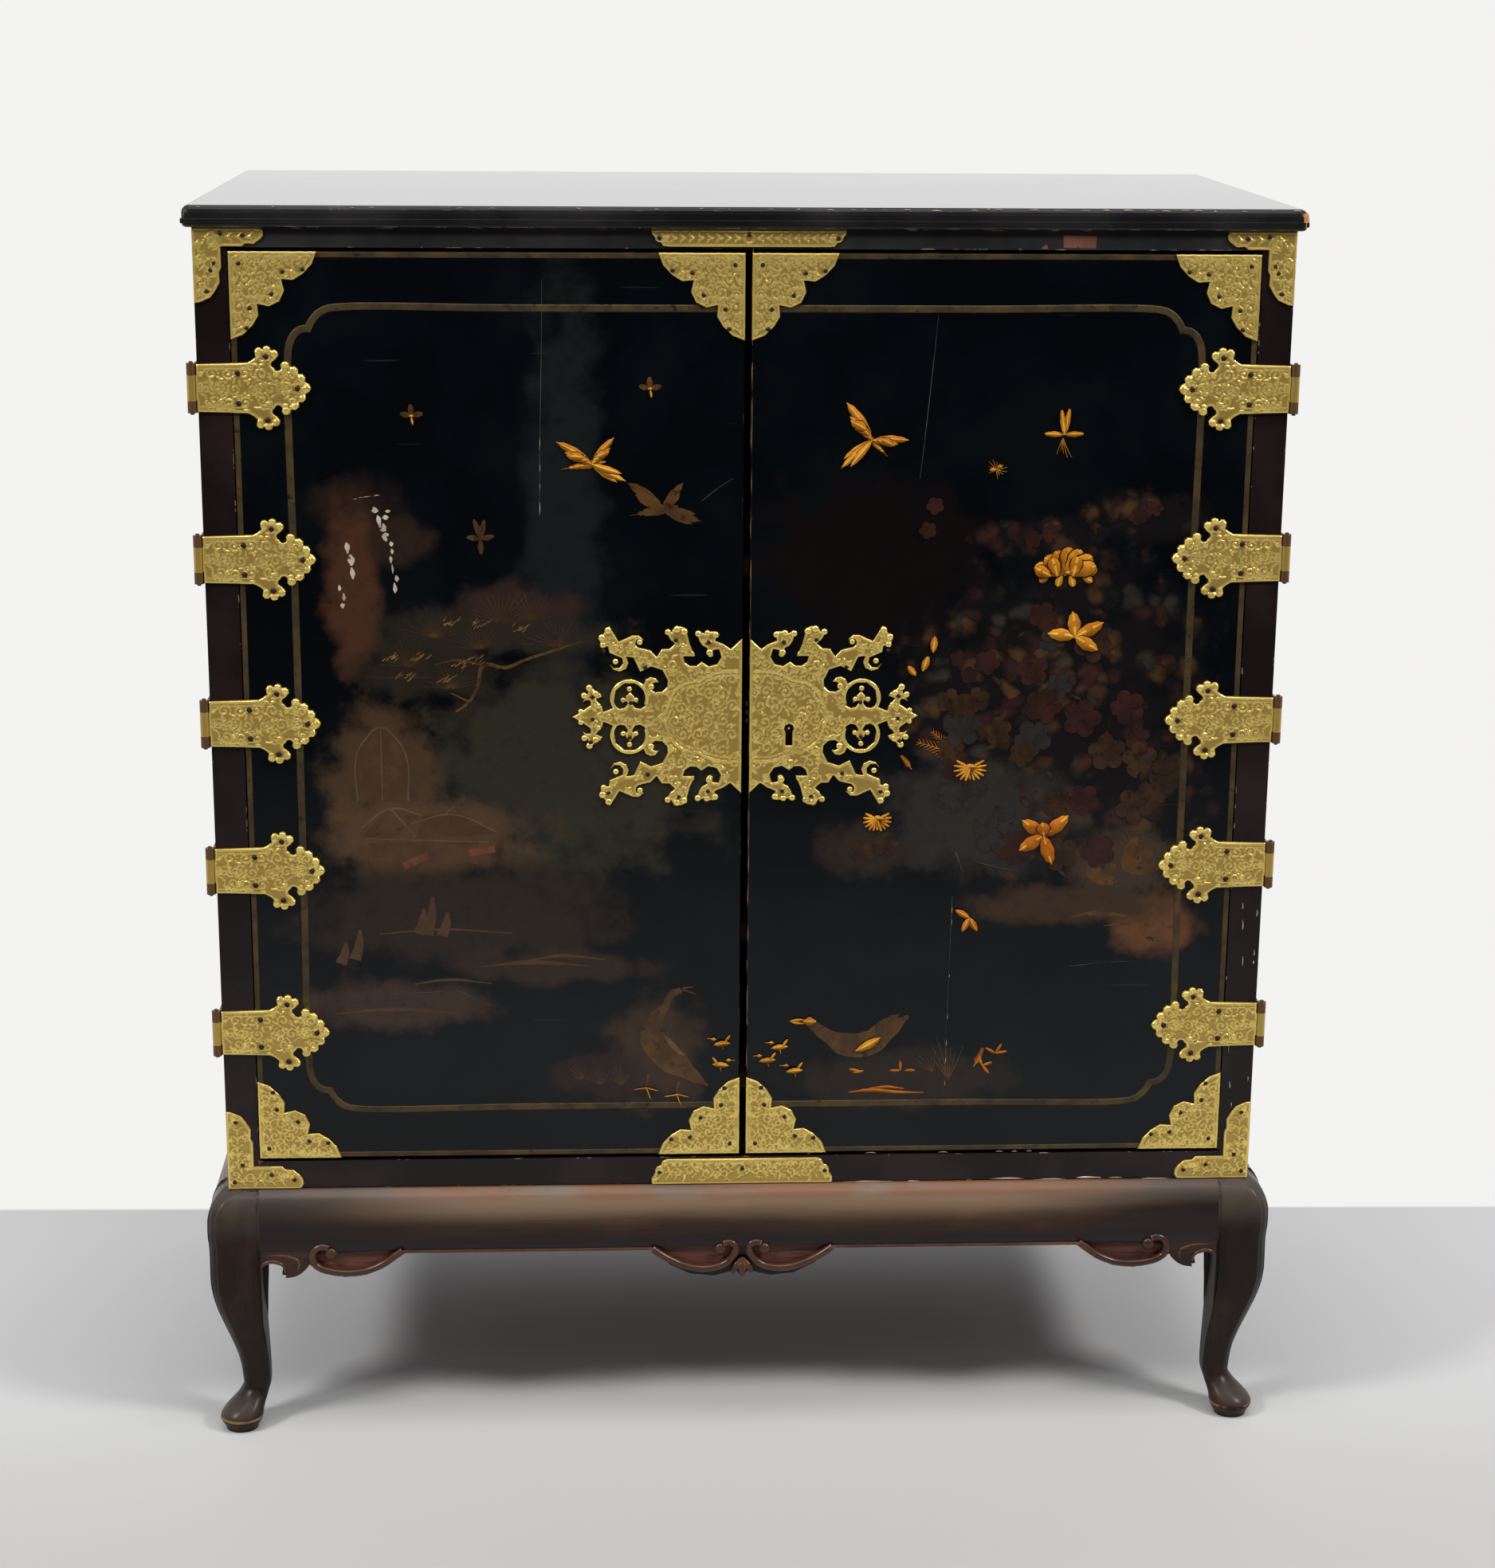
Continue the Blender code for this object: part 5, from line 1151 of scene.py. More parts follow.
nail_heads = {body: bmesh.new() for body in ("cabinet", "left_door", "right_door")}
for side, sign in SIDES:
    heads = nail_heads[BODY[side]]
    for place in hinge_places(side):
        for u, v in STRAP_NAILS:
            add_nail(heads, place.x - sign * u * MM, place.z + v * MM, STRAP_FRONT, STRAP_NAIL_RADIUS)
    for _, at, across, up_sign in door_corners(side, sign):
        for a, b in CORNER_NAILS:
            add_nail(heads, at.x + across * a * MM, at.z - up_sign * b * MM)
    for end, up_sign in ENDS:
        at = corner_point(f"case_corner_{end}_{side}", sign > 0, end == "top")
        for a, b in CASE_TOP_NAILS if end == "top" else CASE_BOTTOM_NAILS:
            add_nail(nail_heads["cabinet"], at.x - sign * a * MM, at.z - up_sign * b * MM)
    at = plate_middle(side, sign)
    for a, b in PLATE_NAILS:
        add_nail(heads, at.x + sign * a * MM, at.z + b * MM)
for end, _ in ENDS:
    low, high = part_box(f"rail_mount_{end}")
    for a, b in RAIL_NAILS:
        add_nail(nail_heads["cabinet"], a * MM, (low.z + high.z) / 2 + b * MM)
for body, shape in nail_heads.items():
    print("nails on", body, len(shape.verts) // NAIL_POINTS)
    add_piece(f"nails_{body}", mesh_from(shape, f"nails_{body}"), NAIL_METAL, body)

# %% [markdown]
# ## Gilt lines
# A gilt band runs along the outer edges of each door, and a second line makes one frame over both
# doors, with corners of two arcs that meet in a step. They are flat beads, a tenth of a
# millimetre thick, in a rubbed gilding that lets the black through.

# %% Gilt lines
def gilding(name, bright, dull, gone, loss, metal=0.25, shine=0.35, rough=0.42, grit=0.25):
    """Gold paint on lacquer, rubbed in places to the black beneath."""
    material, tree, shader, coords = new_material(name)
    cloud = mask(tree, speckle(tree, coords, 55.0, 5.0), 0.35, 0.68)
    tone = mix(tree, cloud, rgb(*dull), rgb(*bright))
    rubbed = mask(tree, speckle(tree, coords, 120.0, 6.0, 0.7), 0.62 - loss * 0.3, 0.72 - loss * 0.3)
    feed(tree, shader.inputs["Base Color"], mix(tree, rubbed, tone, rgb(*gone)))
    feed(tree, shader.inputs["Roughness"], calc(tree, "MULTIPLY_ADD", rubbed, -0.06, rough))
    shader.inputs["Metallic"].default_value = metal
    shader.inputs["Specular IOR Level"].default_value = shine
    bump = node(tree, "Bump", Strength=grit, Distance=0.0004, Height=speckle(tree, coords, 400.0, 3.0))
    feed(tree, shader.inputs["Normal"], bump.outputs[0])
    return material


LINE_GILT = gilding("line_gilt", (0.082, 0.052, 0.017), (0.042, 0.028, 0.013), (0.018, 0.013, 0.009), 0.20)
EDGE_BAND, BAND_SIDE_IN, BAND_END_IN, BAND_MEETING = 2.4, 2.6, 3.0, 4
FRAME_SIDE, FRAME_TOP, FRAME_BOTTOM, LINE_HALF = 397.0, 1052.0, 320.0, 3.2
INK_Y = FRONT - 0.02 * MM
FIRST_ARC = [(357, 0), (367, -3), (375, -10.5), (380, -20)]
SECOND_ARC = [(379, -17.5), (387, -19.5), (394, -28), (FRAME_SIDE, -42)]


def frame_lines(sign):
    """One door's part of the frame: along the top, down the side and along the bottom."""
    runs = []
    for level, way in ((FRAME_TOP, 1), (FRAME_BOTTOM, -1)):
        runs.append([(3.5, level), (200, level)] + [(x, level + way * z) for x, z in FIRST_ARC])
    upper = [(x, FRAME_TOP + z) for x, z in SECOND_ARC]
    lower = [(x, FRAME_BOTTOM - z) for x, z in reversed(SECOND_ARC)]
    runs.append(upper + [(FRAME_SIDE, 800), (FRAME_SIDE, 560)] + lower)
    return [[(sign * x, z, LINE_HALF) for x, z in run] for run in runs]


band_x, band_top, band_bottom = DOOR_EDGE - BAND_SIDE_IN, DOOR_TOP - BAND_END_IN, DOOR_BOTTOM + BAND_END_IN
band_path = ((BAND_MEETING, band_top), (band_x, band_top), (band_x, band_bottom), (BAND_MEETING, band_bottom))
for side, sign in SIDES:
    band = [[(sign * x, z, EDGE_BAND) for x, z in ends] for ends in zip(band_path, band_path[1:])]
    bead(f"gilt_lines_{side}", band + frame_lines(sign), INK_Y, 0.05, LINE_GILT, BODY[side], steps=12)
print("gilt frame from", FRAME_BOTTOM, "to", FRAME_TOP, "mm")

# %% [markdown]
# ## Raised painting
# Japanned pictures are built up in relief and gilded: birds, butterflies, blossoms, water fowl, a
# rock with pines and small roofs. They are drawn here from a few kinds of brush stroke, each a flat
# bead that is narrow, wide and pointed again. The figures are ordinary ones of this craft, set in
# about the places where the old painting still shows.

# %% Brush strokes
def toward(x, z, angle, reach):
    """The point that lies a reach away at an angle in degrees."""
    return x + reach * math.cos(math.radians(angle)), z + reach * math.sin(math.radians(angle))


def bent(x, z, angle, length, bend, share):
    """A point along a stroke that leans to its left as it goes."""
    x, z = toward(x, z, angle, length * share)
    return toward(x, z, angle + 90, bend * length * share * share)


def petal(x, z, angle, length, width, bend=0.0, blunt=0.10):
    """A stroke that is narrow, wide and pointed again."""
    return [(*bent(x, z, angle, length, bend, share), half * width / 2)
            for share, half in ((0.0, 0.20), (0.25, 0.78), (0.52, 1.0), (0.80, 0.72), (1.0, blunt))]


ROUND_TIP = ((0.0, 0.20), (0.30, 0.74), (0.62, 1.0), (0.84, 0.86), (0.95, 0.52), (1.0, 0.10))


def round_petal(x, z, angle, length, width):
    """A broad stroke with a round tip."""
    return [(*bent(x, z, angle, length, 0.06, share), half * width / 2) for share, half in ROUND_TIP]


def petals(x, z, ways, width, bend=0.0, blunt=0.10):
    """Strokes that spread from one point; ways are pairs of an angle and a reach."""
    return [petal(x, z, angle, reach, width, bend, blunt) for angle, reach in ways]


def hair(x, z, angle, length, bend=0.0, half=0.35):
    """A thin stroke of nearly one width."""
    return [(*bent(x, z, angle, length, bend, share), half * (1 - 0.6 * share))
            for share in (0.0, 0.35, 0.7, 1.0)]


def spot(x, z, radius):
    """A round dab."""
    return [(x - radius, z, radius * 0.3), (x, z, radius), (x + radius, z, radius * 0.3)]


def fan(x, z, first, last, count, length, half=0.4, bend=0.1):
    """Hairs that spread from a root, like grass."""
    step = (last - first) / (count - 1)
    return [hair(x, z, first + step * i, length * (0.8 + 0.2 * math.sin(5 * i)), bend, half)
            for i in range(count)]


def flying_bird(x, z, head, wings, tail):
    """A bird on the wing; head, wings and tail are an angle and a reach from its breast."""
    angle, reach = head
    lines = [petal(*toward(x, z, angle, -0.45 * reach), angle, 1.15 * reach, 0.36 * reach)]
    lines.append(spot(*toward(x, z, angle, 0.66 * reach), 0.085 * reach))
    lines.append(hair(*toward(x, z, angle, 0.7 * reach), angle, 0.3 * reach))
    for (way, span), side in zip(wings, (1, -1)):
        lines.append(petal(x, z, way, span, 0.30 * span, 0.10 * side))
        for i in (1, 2, 3):
            root = toward(x, z, way, 0.13 * span * (i - 1))
            lines.append(petal(*root, way + 9 * side * i, span * (0.90 - 0.19 * i), 0.30 * span, 0.10 * side))
    for spread in (-9, 0, 9):
        lines.append(petal(x, z, tail[0] + spread, tail[1] * (1 - abs(spread) / 50), 0.24 * tail[1], 0.04))
    return lines


def duckling(x, z, way):
    """A chick with a raised wing, looking left or right."""
    ahead = 0 if way > 0 else 180
    return [petal(x - way * 7, z, ahead, 15, 7, -0.10 * way), spot(x + way * 8, z + 4, 2.3),
            hair(x + way * 9, z + 4, ahead, 5, half=0.7), petal(x - way * 2, z, 90 + way * 35, 9, 3.4),
            hair(x, z - 3, -75, 4, half=0.5)]


def frond(x, z, angle, length):
    """A fern leaf: a stem with hairs on both sides."""
    lines = [hair(x, z, angle, length, 0.12, 0.5)]
    for i in range(2, 11):
        root = bent(x, z, angle, length, 0.12, i / 11)
        lines += [hair(*root, angle + turn, length * 0.26 * (1.15 - i / 14), 0.1, 0.38) for turn in (-38, 42)]
    return lines


# %% [markdown]
# The paints are few: bright gilding for what still shines, bone for bare ground, and varnished paints
# for what has sunk in. Those lie flat under the door's own polish, so they share its gloss and show no
# edge from the side. Where gilding is bright, the painter laid a paler stroke over the orange one, so
# those pieces get a second, slimmer bead on top.

# %% Paints
def varnished(name, bright, dull, gone, loss):
    """Paint that lies under the same polish as the ground round it."""
    return gilding(name, bright, dull, gone, loss, metal=0.0, shine=0.26, rough=0.13, grit=0.05)


def laid_on(name, bright, dull, gone, loss):
    """Gilding that is laid on thickly and still shines by its colour, with little gloss."""
    return gilding(name, bright, dull, gone, loss, metal=0.0, shine=0.06)


PAINT = {name: make(name, *tones) for make, name, *tones in (
    (laid_on, "pale_gilt", (0.80, 0.45, 0.060), (0.60, 0.27, 0.030), (0.40, 0.15, 0.02), 0.10),
    (laid_on, "shining_gilt", (0.54, 0.220, 0.016), (0.36, 0.120, 0.008), (0.20, 0.055, 0.005), 0.10),
    (laid_on, "orange_gilt", (0.50, 0.165, 0.012), (0.34, 0.090, 0.007), (0.16, 0.04, 0.005), 0.12),
    (varnished, "sunk_gilt", (0.100, 0.048, 0.014), (0.052, 0.026, 0.010), (0.022, 0.013, 0.008), 0.25),
    (varnished, "brown_paint", (0.072, 0.039, 0.018), (0.054, 0.029, 0.014), (0.040, 0.021, 0.011), 0.10),
    (varnished, "bank_brown", (0.042, 0.022, 0.010), (0.022, 0.012, 0.007), (0.014, 0.008, 0.006), 0.25),
    (varnished, "bank_red", (0.036, 0.013, 0.010), (0.021, 0.009, 0.007), (0.014, 0.008, 0.008), 0.25),
    (varnished, "bank_grey", (0.027, 0.024, 0.021), (0.018, 0.016, 0.014), (0.014, 0.013, 0.012), 0.25),
    (varnished, "roof_red", (0.150, 0.052, 0.025), (0.095, 0.035, 0.018), (0.060, 0.025, 0.013), 0.15),
    (varnished, "house_line", (0.112, 0.071, 0.037), (0.084, 0.051, 0.027), (0.065, 0.038, 0.020), 0.15),
    (varnished, "tan_paint", (0.200, 0.115, 0.045), (0.110, 0.062, 0.026), (0.040, 0.024, 0.014), 0.20),
    (gilding, "bone_paint", (0.60, 0.51, 0.38), (0.40, 0.33, 0.24), (0.16, 0.12, 0.08), 0.08),
    (varnished, "dark_contour", (0.030, 0.010, 0.004), (0.016, 0.006, 0.003), (0.006, 0.004, 0.003), 0.10),
    (varnished, "sprig_gilt", (0.34, 0.19, 0.045), (0.20, 0.10, 0.025), (0.05, 0.03, 0.012), 0.15),
)}
print("paints:", list(PAINT))

# %% Ways of laying paint on a door
RELIEF, LOW_RELIEF, FLAT, SUNK_LIFT = 0.14, 0.08, 0.002, 0.03
GILT_THICK, GILT_LIFT, GILT_Y = 0.012, 0.12, INK_Y - 0.5 * MM
WASH_THICK = 0.06 * MM


def door_of(name):
    """The door on which a painted piece rides: its name ends in the side."""
    return BODY[name.rsplit("_", 1)[1]]


def strokes(name, lines, paint, rise=0.0, thick=FLAT, sides=1, steps=5):
    """Brush strokes on a door, a rise in mm above its ground."""
    bead(name, lines, INK_Y - rise * MM, thick, PAINT[paint], door_of(name), sides=sides, steps=steps)


def wash(name, outlines, paint, body, y=INK_Y):
    """Flat painted shapes with straight edges, made as filled curves."""
    curve = filled_curve(name, WASH_THICK)
    for outline in outlines:
        spline = curve.splines.new("POLY")
        spline.points.add(len(outline) - 1)
        spline.use_cyclic_u = True
        for point, (x, z) in zip(spline.points, outline):
            point.co = (x * MM, z * MM, 0.0, 1.0)
    return curve_piece(name, curve, standing_at(y), paint, body, smooth=False)


def slimmer(lines, share):
    """The same strokes with a share of their width."""
    return [[(x, z, half * share) for x, z, half in line] for line in lines]


def contoured(name, lines, paint, fill, y, thick, lift):
    """A flat dark contour and over it the paint, each stroke a little above the last."""
    body = door_of(name)
    bead(name + "_contour", lines, y, thick / 2, PAINT["dark_contour"], body, sides=1, steps=4, lift=lift)
    y -= 0.25 * lift * MM
    bead(name, slimmer(lines, fill), y, thick, PAINT[paint], body, sides=1, steps=4, lift=lift)


def gilded(name, lines, paint, slim=0.22):
    """Orange strokes in a dark contour, with a paler, slimmer stroke on top of each."""
    contoured(name, lines, paint, 0.84, GILT_Y, GILT_THICK, GILT_LIFT)
    bead(name + "_light", slimmer(lines, slim), GILT_Y - 0.7 * GILT_LIFT * MM, GILT_THICK, PAINT["pale_gilt"],
         door_of(name), sides=1, steps=4, lift=GILT_LIFT)


def sunk(name, lines, paint):
    """Flat strokes that have sunk into the ground, with a thin dark contour."""
    contoured(name, lines, paint, 0.92, INK_Y, FLAT, SUNK_LIFT)


# %% [markdown]
# ### The left door
# Two birds fly to the left above a rock pillar and a pine. Below lie a garden house, a shore with
# mounds, and a goose with its young.

# %% Left door: gilt figures
LEFT_INSECTS, GOOSE_FEET = ((-292, 959), (-85, 983)), ((-89, 336), (-61, 329))
left_gilt = flying_bird(-136, 917, (190, 27), ((142, 36), (56, 30)), (-29, 33))
left_gilt += duckling(-19, 381, -1) + duckling(-21, 360, 1)
for x, z in LEFT_INSECTS:
    left_gilt += [spot(x, z, 2.0), petal(x, z - 1, -80, 7, 3)]
for x, z in GOOSE_FEET:
    left_gilt += [hair(x, z + 2, angle, 11, half=1.0) for angle in (-172, -15, -70)]
gilded("gilt_figures_left", left_gilt, "shining_gilt")
print("gilt strokes on the left door:", len(left_gilt))

# %% Left door: sunk figures
GOOSE = [(-57, 432, 3.4), (-66, 428, 4.0), (-72, 416, 4.4), (-80, 404, 8), (-81, 386, 16), (-66, 366, 16),
         (-46, 349, 7), (-32, 339, 1)]
PINE_TRUNK = [(-145, 759, 0.5), (-172, 750, 1.2), (-196, 742, 1.6), (-214, 735, 1.8), (-233, 737, 2.0),
              (-238, 720, 1.8), (-246, 704, 1.6), (-258, 695, 1.0)]
PINE_BOUGHS = [[(-233, 737, 1.2), (-256, 742, 1.0), (-276, 738, 0.5)], [(-246, 704, 1.0), (-262, 712, 0.6)]]
PINE_CROWNS = ((-276, 762, 30), (-218, 776, 36), (-190, 778, 30), (-168, 754, 32), (-300, 736, 26),
               (-262, 716, 26), (-236, 752, 30))
left_sunk = flying_bird(-74, 877, (191, 30), ((137, 38), (58, 29)), (-20, 35))
left_sunk += petals(-234, 851, ((75, 17), (105, 18), (8, 12), (172, 12), (-90, 14)), 6, 0.05, 0.3)
for x, z in LEFT_INSECTS:
    left_sunk += petals(x, z, ((12, 10), (168, 10), (95, 10)), 6, 0.0, 0.4)
left_sunk += [GOOSE, hair(-56, 433, -22, 13, 0, 1.2), hair(-56, 434, 6, 11, 0, 1.0)]
left_sunk += [hair(x + 2, z + 14, -100, 12, half=1.3) for x, z in GOOSE_FEET]
left_sunk += [PINE_TRUNK] + PINE_BOUGHS
for x, z, reach in PINE_CROWNS:
    left_sunk += fan(x, z, 8, 172, 15, reach, 0.28, 0.06)
left_sunk += fan(-130, 340, 60, 150, 9, 24) + fan(-112, 340, 50, 140, 8, 20) + fan(-148, 346, 70, 160, 7, 16)
goose_wing = [petal(-76, 392, -62, 30, 12, 0.12, 0.3), petal(-72, 388, -54, 26, 7, 0.1, 0.3)]
sunk("goose_wing_left", goose_wing, "tan_paint")
strokes("sunk_figures_left", left_sunk, "sunk_gilt")
print("sunk strokes on the left door:", len(left_sunk))

# %% Left door: house, pine sprigs and shore
HOUSE_LINES = [
    [(-347, 613, 0.8), (-347, 655, 0.8), (-338, 671, 0.8), (-325, 681, 0.9), (-312, 671, 0.8),
     (-303, 655, 0.8), (-302, 613, 0.8)],
    [(-325, 613, 0.6), (-325, 680, 0.6)],
    [(-344, 588, 1.0), (-318, 606, 1.0), (-289, 599, 1.0)],
    [(-318, 606, 0.8), (-296, 580, 0.8)],
    [(-300, 592, 0.8), (-262, 600, 0.8), (-222, 583, 0.9)],
    [(-340, 578, 0.7), (-230, 574, 0.7)]]
HOUSE_WALLS = [
    [(-346, 613), (-303, 613), (-303, 656), (-325, 680), (-346, 656)],
    [(-344, 580), (-318, 578), (-292, 600), (-318, 608)],
    [(-296, 578), (-222, 582), (-262, 602), (-288, 600)],
    [(-338, 556), (-240, 554), (-240, 574), (-338, 574)]]
ROOFS = [[(-307, 552, 4), (-285, 562, 4)], [(-248, 564, 4), (-225, 568, 4)]]
SPRIGS = ((-263, 776), (-236, 773), (-290, 744), (-258, 737), (-304, 726), (-268, 724), (-240, 741),
          (-200, 770), (-318, 742))
MOUNDS = ((-283, 505, 36), (-291, 500, 24), (-270, 497, 22), (-349, 478, 28), (-362, 470, 20))
SHORES = ((-240, 456, 100, 2.5), (-196, 462, 70, 2), (-300, 440, 70, 1.6), (-330, 488, 120, 1.2),
          (-372, 412, 110, 2))
strokes("house_outlines_left", HOUSE_LINES, "house_line", 0.07)
sprigs = Random(21)
bundles = []
for x, z in SPRIGS:
    for i in range(9):
        root = x + sprigs.uniform(-8, 8), z + sprigs.uniform(-3, 3)
        bundles.append(hair(*root, 35 + sprigs.uniform(-18, 18), 5.0, 0.1, 0.36))
strokes("pine_sprigs_left", bundles, "sprig_gilt", 0.04, sides=0, steps=3)
wash("house_walls_left", HOUSE_WALLS, PAINT["brown_paint"], "left_door")
left_forms = [[(x - 4, z - tall / 2, 6), (x, z, 4.5), (x + 1, z + tall / 2, 1.8)] for x, z, tall in MOUNDS]
for x, z, length, half in SHORES:
    left_forms.append([(x, z, 0.6), (x + length * 0.45, z + 4, half), (x + length, z, 0.5)])
strokes("brown_forms_left", left_forms, "brown_paint", steps=6)
strokes("red_roofs_left", ROOFS, "roof_red", 0.1, steps=3)
print("sprigs:", len(bundles), "mounds and shores:", len(left_forms))

# %% [markdown]
# ### The right door
# A bird and insects above, then a tall bank of flowers from maroon to bright orange, and at the
# foot a duck that leads its young to the water.

# %% Right door: gilt figures
PEONY = ((168, 29), (142, 24), (115, 22), (84, 23), (56, 24), (30, 27), (10, 27))
PEONY_HEART = ((270, 150, 15), (276, 105, 17), (290, 75, 18), (298, 32, 15), (283, 90, 13))
PEONY_FOOT = ((270, 215), (280, 250), (288, 280), (298, 318))
right_gilt = flying_bird(109, 938, (-46, 20), ((119, 40), (6, 32)), (220, 36))
right_gilt += petals(278, 943, ((80, 23), (98, 22), (2, 17), (178, 17)), 7, 0.0, 0.4)
right_gilt += fan(277, 940, -115, -70, 5, 19)
right_gilt += [spot(216, 912, 2.8), spot(222, 915, 2.4)] + fan(219, 912, -85, 200, 13, 10, 0.35)
right_gilt += [round_petal(284, 820, angle, reach, 19) for angle, reach in PEONY]
right_gilt += [round_petal(x, 817, angle, reach, 15) for x, angle, reach in PEONY_HEART]
right_gilt += [round_petal(x, 819, angle, 12, 9) for x, angle in PEONY_FOOT]
right_gilt += petals(294, 762, ((170, 25), (94, 23), (24, 28), (-34, 24)), 16, 0.06)
for x, z, reach in ((203, 641, 15), (120, 593, 13)):
    for i in range(13):
        angle = 150 + 240 * i / 12
        length = reach * (0.7 + 0.3 * abs(math.cos(math.radians(angle))))
        right_gilt.append(petal(x, z, angle, length, 4.2, 0, 0.5))
    right_gilt.append([(x - 6, z + 1, 1), (x, z + 2, 3.2), (x + 6, z + 1, 1)])
right_gilt += [spot(61, 401, 6.0), petal(56, 403, 184, 14, 4, 0.05), petal(56, 399, 176, 12, 3.4, -0.05),
               petal(104, 372, 24, 26, 11, 0.1)]
for x, z in ((34, 377), (48, 354), (23, 364)):
    right_gilt += duckling(x, z, -1)
right_gilt += [petal(158, 731, 70, 14, 9, 0, 0.4), petal(152, 727, 130, 11, 8, 0, 0.4),
               petal(167, 748, 85, 15, 9)]
gilded("gilt_figures_right", right_gilt, "shining_gilt")
print("gilt strokes on the right door:", len(right_gilt))

# %% Right door: orange flowers and fine strokes
right_orange = petals(272, 577, ((141, 25), (38, 29), (209, 26), (-76, 28), (95, 13)), 17, 0.05)
right_orange += petals(206, 500, ((-60, 15), (-115, 15), (150, 15)), 8)
gilded("orange_flowers_right", right_orange, "orange_gilt", 0.18)

fine_orange = frond(194, 650, 152, 42) + frond(192, 652, 130, 34) + frond(150, 640, 120, 16)
fine_orange += frond(214, 355, 60, 20)
for x, angle in ((146, 92), (146, 180), (150, 0), (112, 190), (108, 170)):
    fine_orange.append(petal(x, 352, angle, 10, 3))
fine_orange += [[(98, 331, 0.4), (120, 333, 2.2), (140, 331, 1.6), (168, 330, 0.3)],
                [(118, 335, 0.4), (134, 336, 1.6), (150, 334, 0.3)]]
fine_orange += petals(234, 368, ((10, 11), (60, 11), (150, 11)), 3)
fine_orange += petals(222, 356, ((-50, 10), (20, 10), (110, 10)), 3)
strokes("fine_orange_right", fine_orange, "orange_gilt", thick=RELIEF, steps=3)
print("orange strokes:", len(right_orange) + len(fine_orange))

# %% Right door: sunk figures
DUCK = [(62, 399, 5), (76, 388, 7), (96, 378, 13), (116, 379, 14), (136, 393, 9), (152, 405, 2)]
BANK_EDGE = [
    [(300, 500, 0.5), (326, 503, 3.0), (356, 499, 0.6)], [(330, 491, 0.5), (352, 493, 2.0), (372, 489, 0.5)],
    [(352, 488, 0.6), (374, 492, 3.5), (398, 488, 0.8)], [(356, 474, 0.5), (376, 478, 3.0), (396, 472, 0.6)]]
right_sunk = [DUCK, petal(112, 386, 28, 38, 12, 0.1)]
right_sunk += fan(362, 552, 35, 150, 13, 38, 0.5) + fan(190, 342, 62, 118, 7, 46, 0.6)
right_sunk += fan(176, 350, 80, 150, 6, 24)
right_sunk += petals(312, 540, ((48, 30), (12, 30), (-18, 30)), 14, 0.1)
right_sunk += petals(346, 544, ((75, 34), (40, 34), (8, 34)), 15, -0.1)
strokes("sunk_figures_right", right_sunk + BANK_EDGE, "sunk_gilt")
print("sunk strokes on the right door:", len(right_sunk) + len(BANK_EDGE))

# %% Right door: bank of flowers
BANK_MIDDLE, BANK_REACH, BLOSSOMS, BLOSSOM_GAP = (284, 668), (108, 118), 30, 17
LEAF_MIDDLE, LEAF_REACH, LEAVES = (284, 660), (112, 124), 40
RED_BLOSSOMS = ((361, 878), (346, 870), (254, 850), (270, 857), (166, 880), (160, 858), (190, 742),
                (200, 727))
BROWN_BLOSSOMS = ((183, 703), (196, 698), (208, 704), (106, 562), (128, 570))
garden = Random(33)
banks = {"brown": [], "red": [], "grey": []}


def blossom(x, z, size, turn, count=5):
    """A flower of broad petals round a small heart."""
    lines = [round_petal(x, z, turn + 360 * i / count, size, size * 0.98) for i in range(count)]
    return lines + [spot(x, z, size * 0.16)]


def far_from(places, x, z, reach):
    """True where no earlier flower is near."""
    return all(math.hypot(x - a, z - b) > reach for a, b in places)


def somewhere(middle, reach):
    """A chance place in an ellipse."""
    turn, share = garden.uniform(0, 2 * math.pi), math.sqrt(garden.random())
    return middle[0] + reach[0] * share * math.cos(turn), middle[1] + reach[1] * share * math.sin(turn)


flowers = []
while len(flowers) < BLOSSOMS:
    x, z = somewhere(BANK_MIDDLE, BANK_REACH)
    if far_from(flowers, x, z, BLOSSOM_GAP):
        flowers.append((x, z))
        kind = "grey" if z < 640 and x < 230 else garden.choice(("brown", "brown", "red", "red", "grey"))
        banks[kind] += blossom(x, z, garden.uniform(11, 18), garden.uniform(0, 72))
for _ in range(LEAVES):
    x, z = somewhere(LEAF_MIDDLE, LEAF_REACH)
    size = garden.uniform(7, 15)
    bank = banks[garden.choice(("brown", "grey", "red"))]
    bank.append(petal(x, z, garden.uniform(0, 360), size, size * 0.42, 0.12))
for x, z in RED_BLOSSOMS:
    banks["red"] += blossom(x, z, 8, x % 60)
for x, z in BROWN_BLOSSOMS:
    banks["brown"] += blossom(x, z, 12, x % 60)
for kind, bank in banks.items():
    sunk(f"flower_bank_{kind}_right", bank, f"bank_{kind}")
print("flowers:", len(flowers), "and strokes:", {kind: len(bank) for kind, bank in banks.items()})

# %% [markdown]
# ### Losses and hairlines
# The lacquer has split along the boards' joints, and flakes have come off the rock, the stiles of
# the case and the rail at its foot. Thin grey strokes make the splits, and short pale ones with
# gaps, which swell and end in a point, make the flakes.

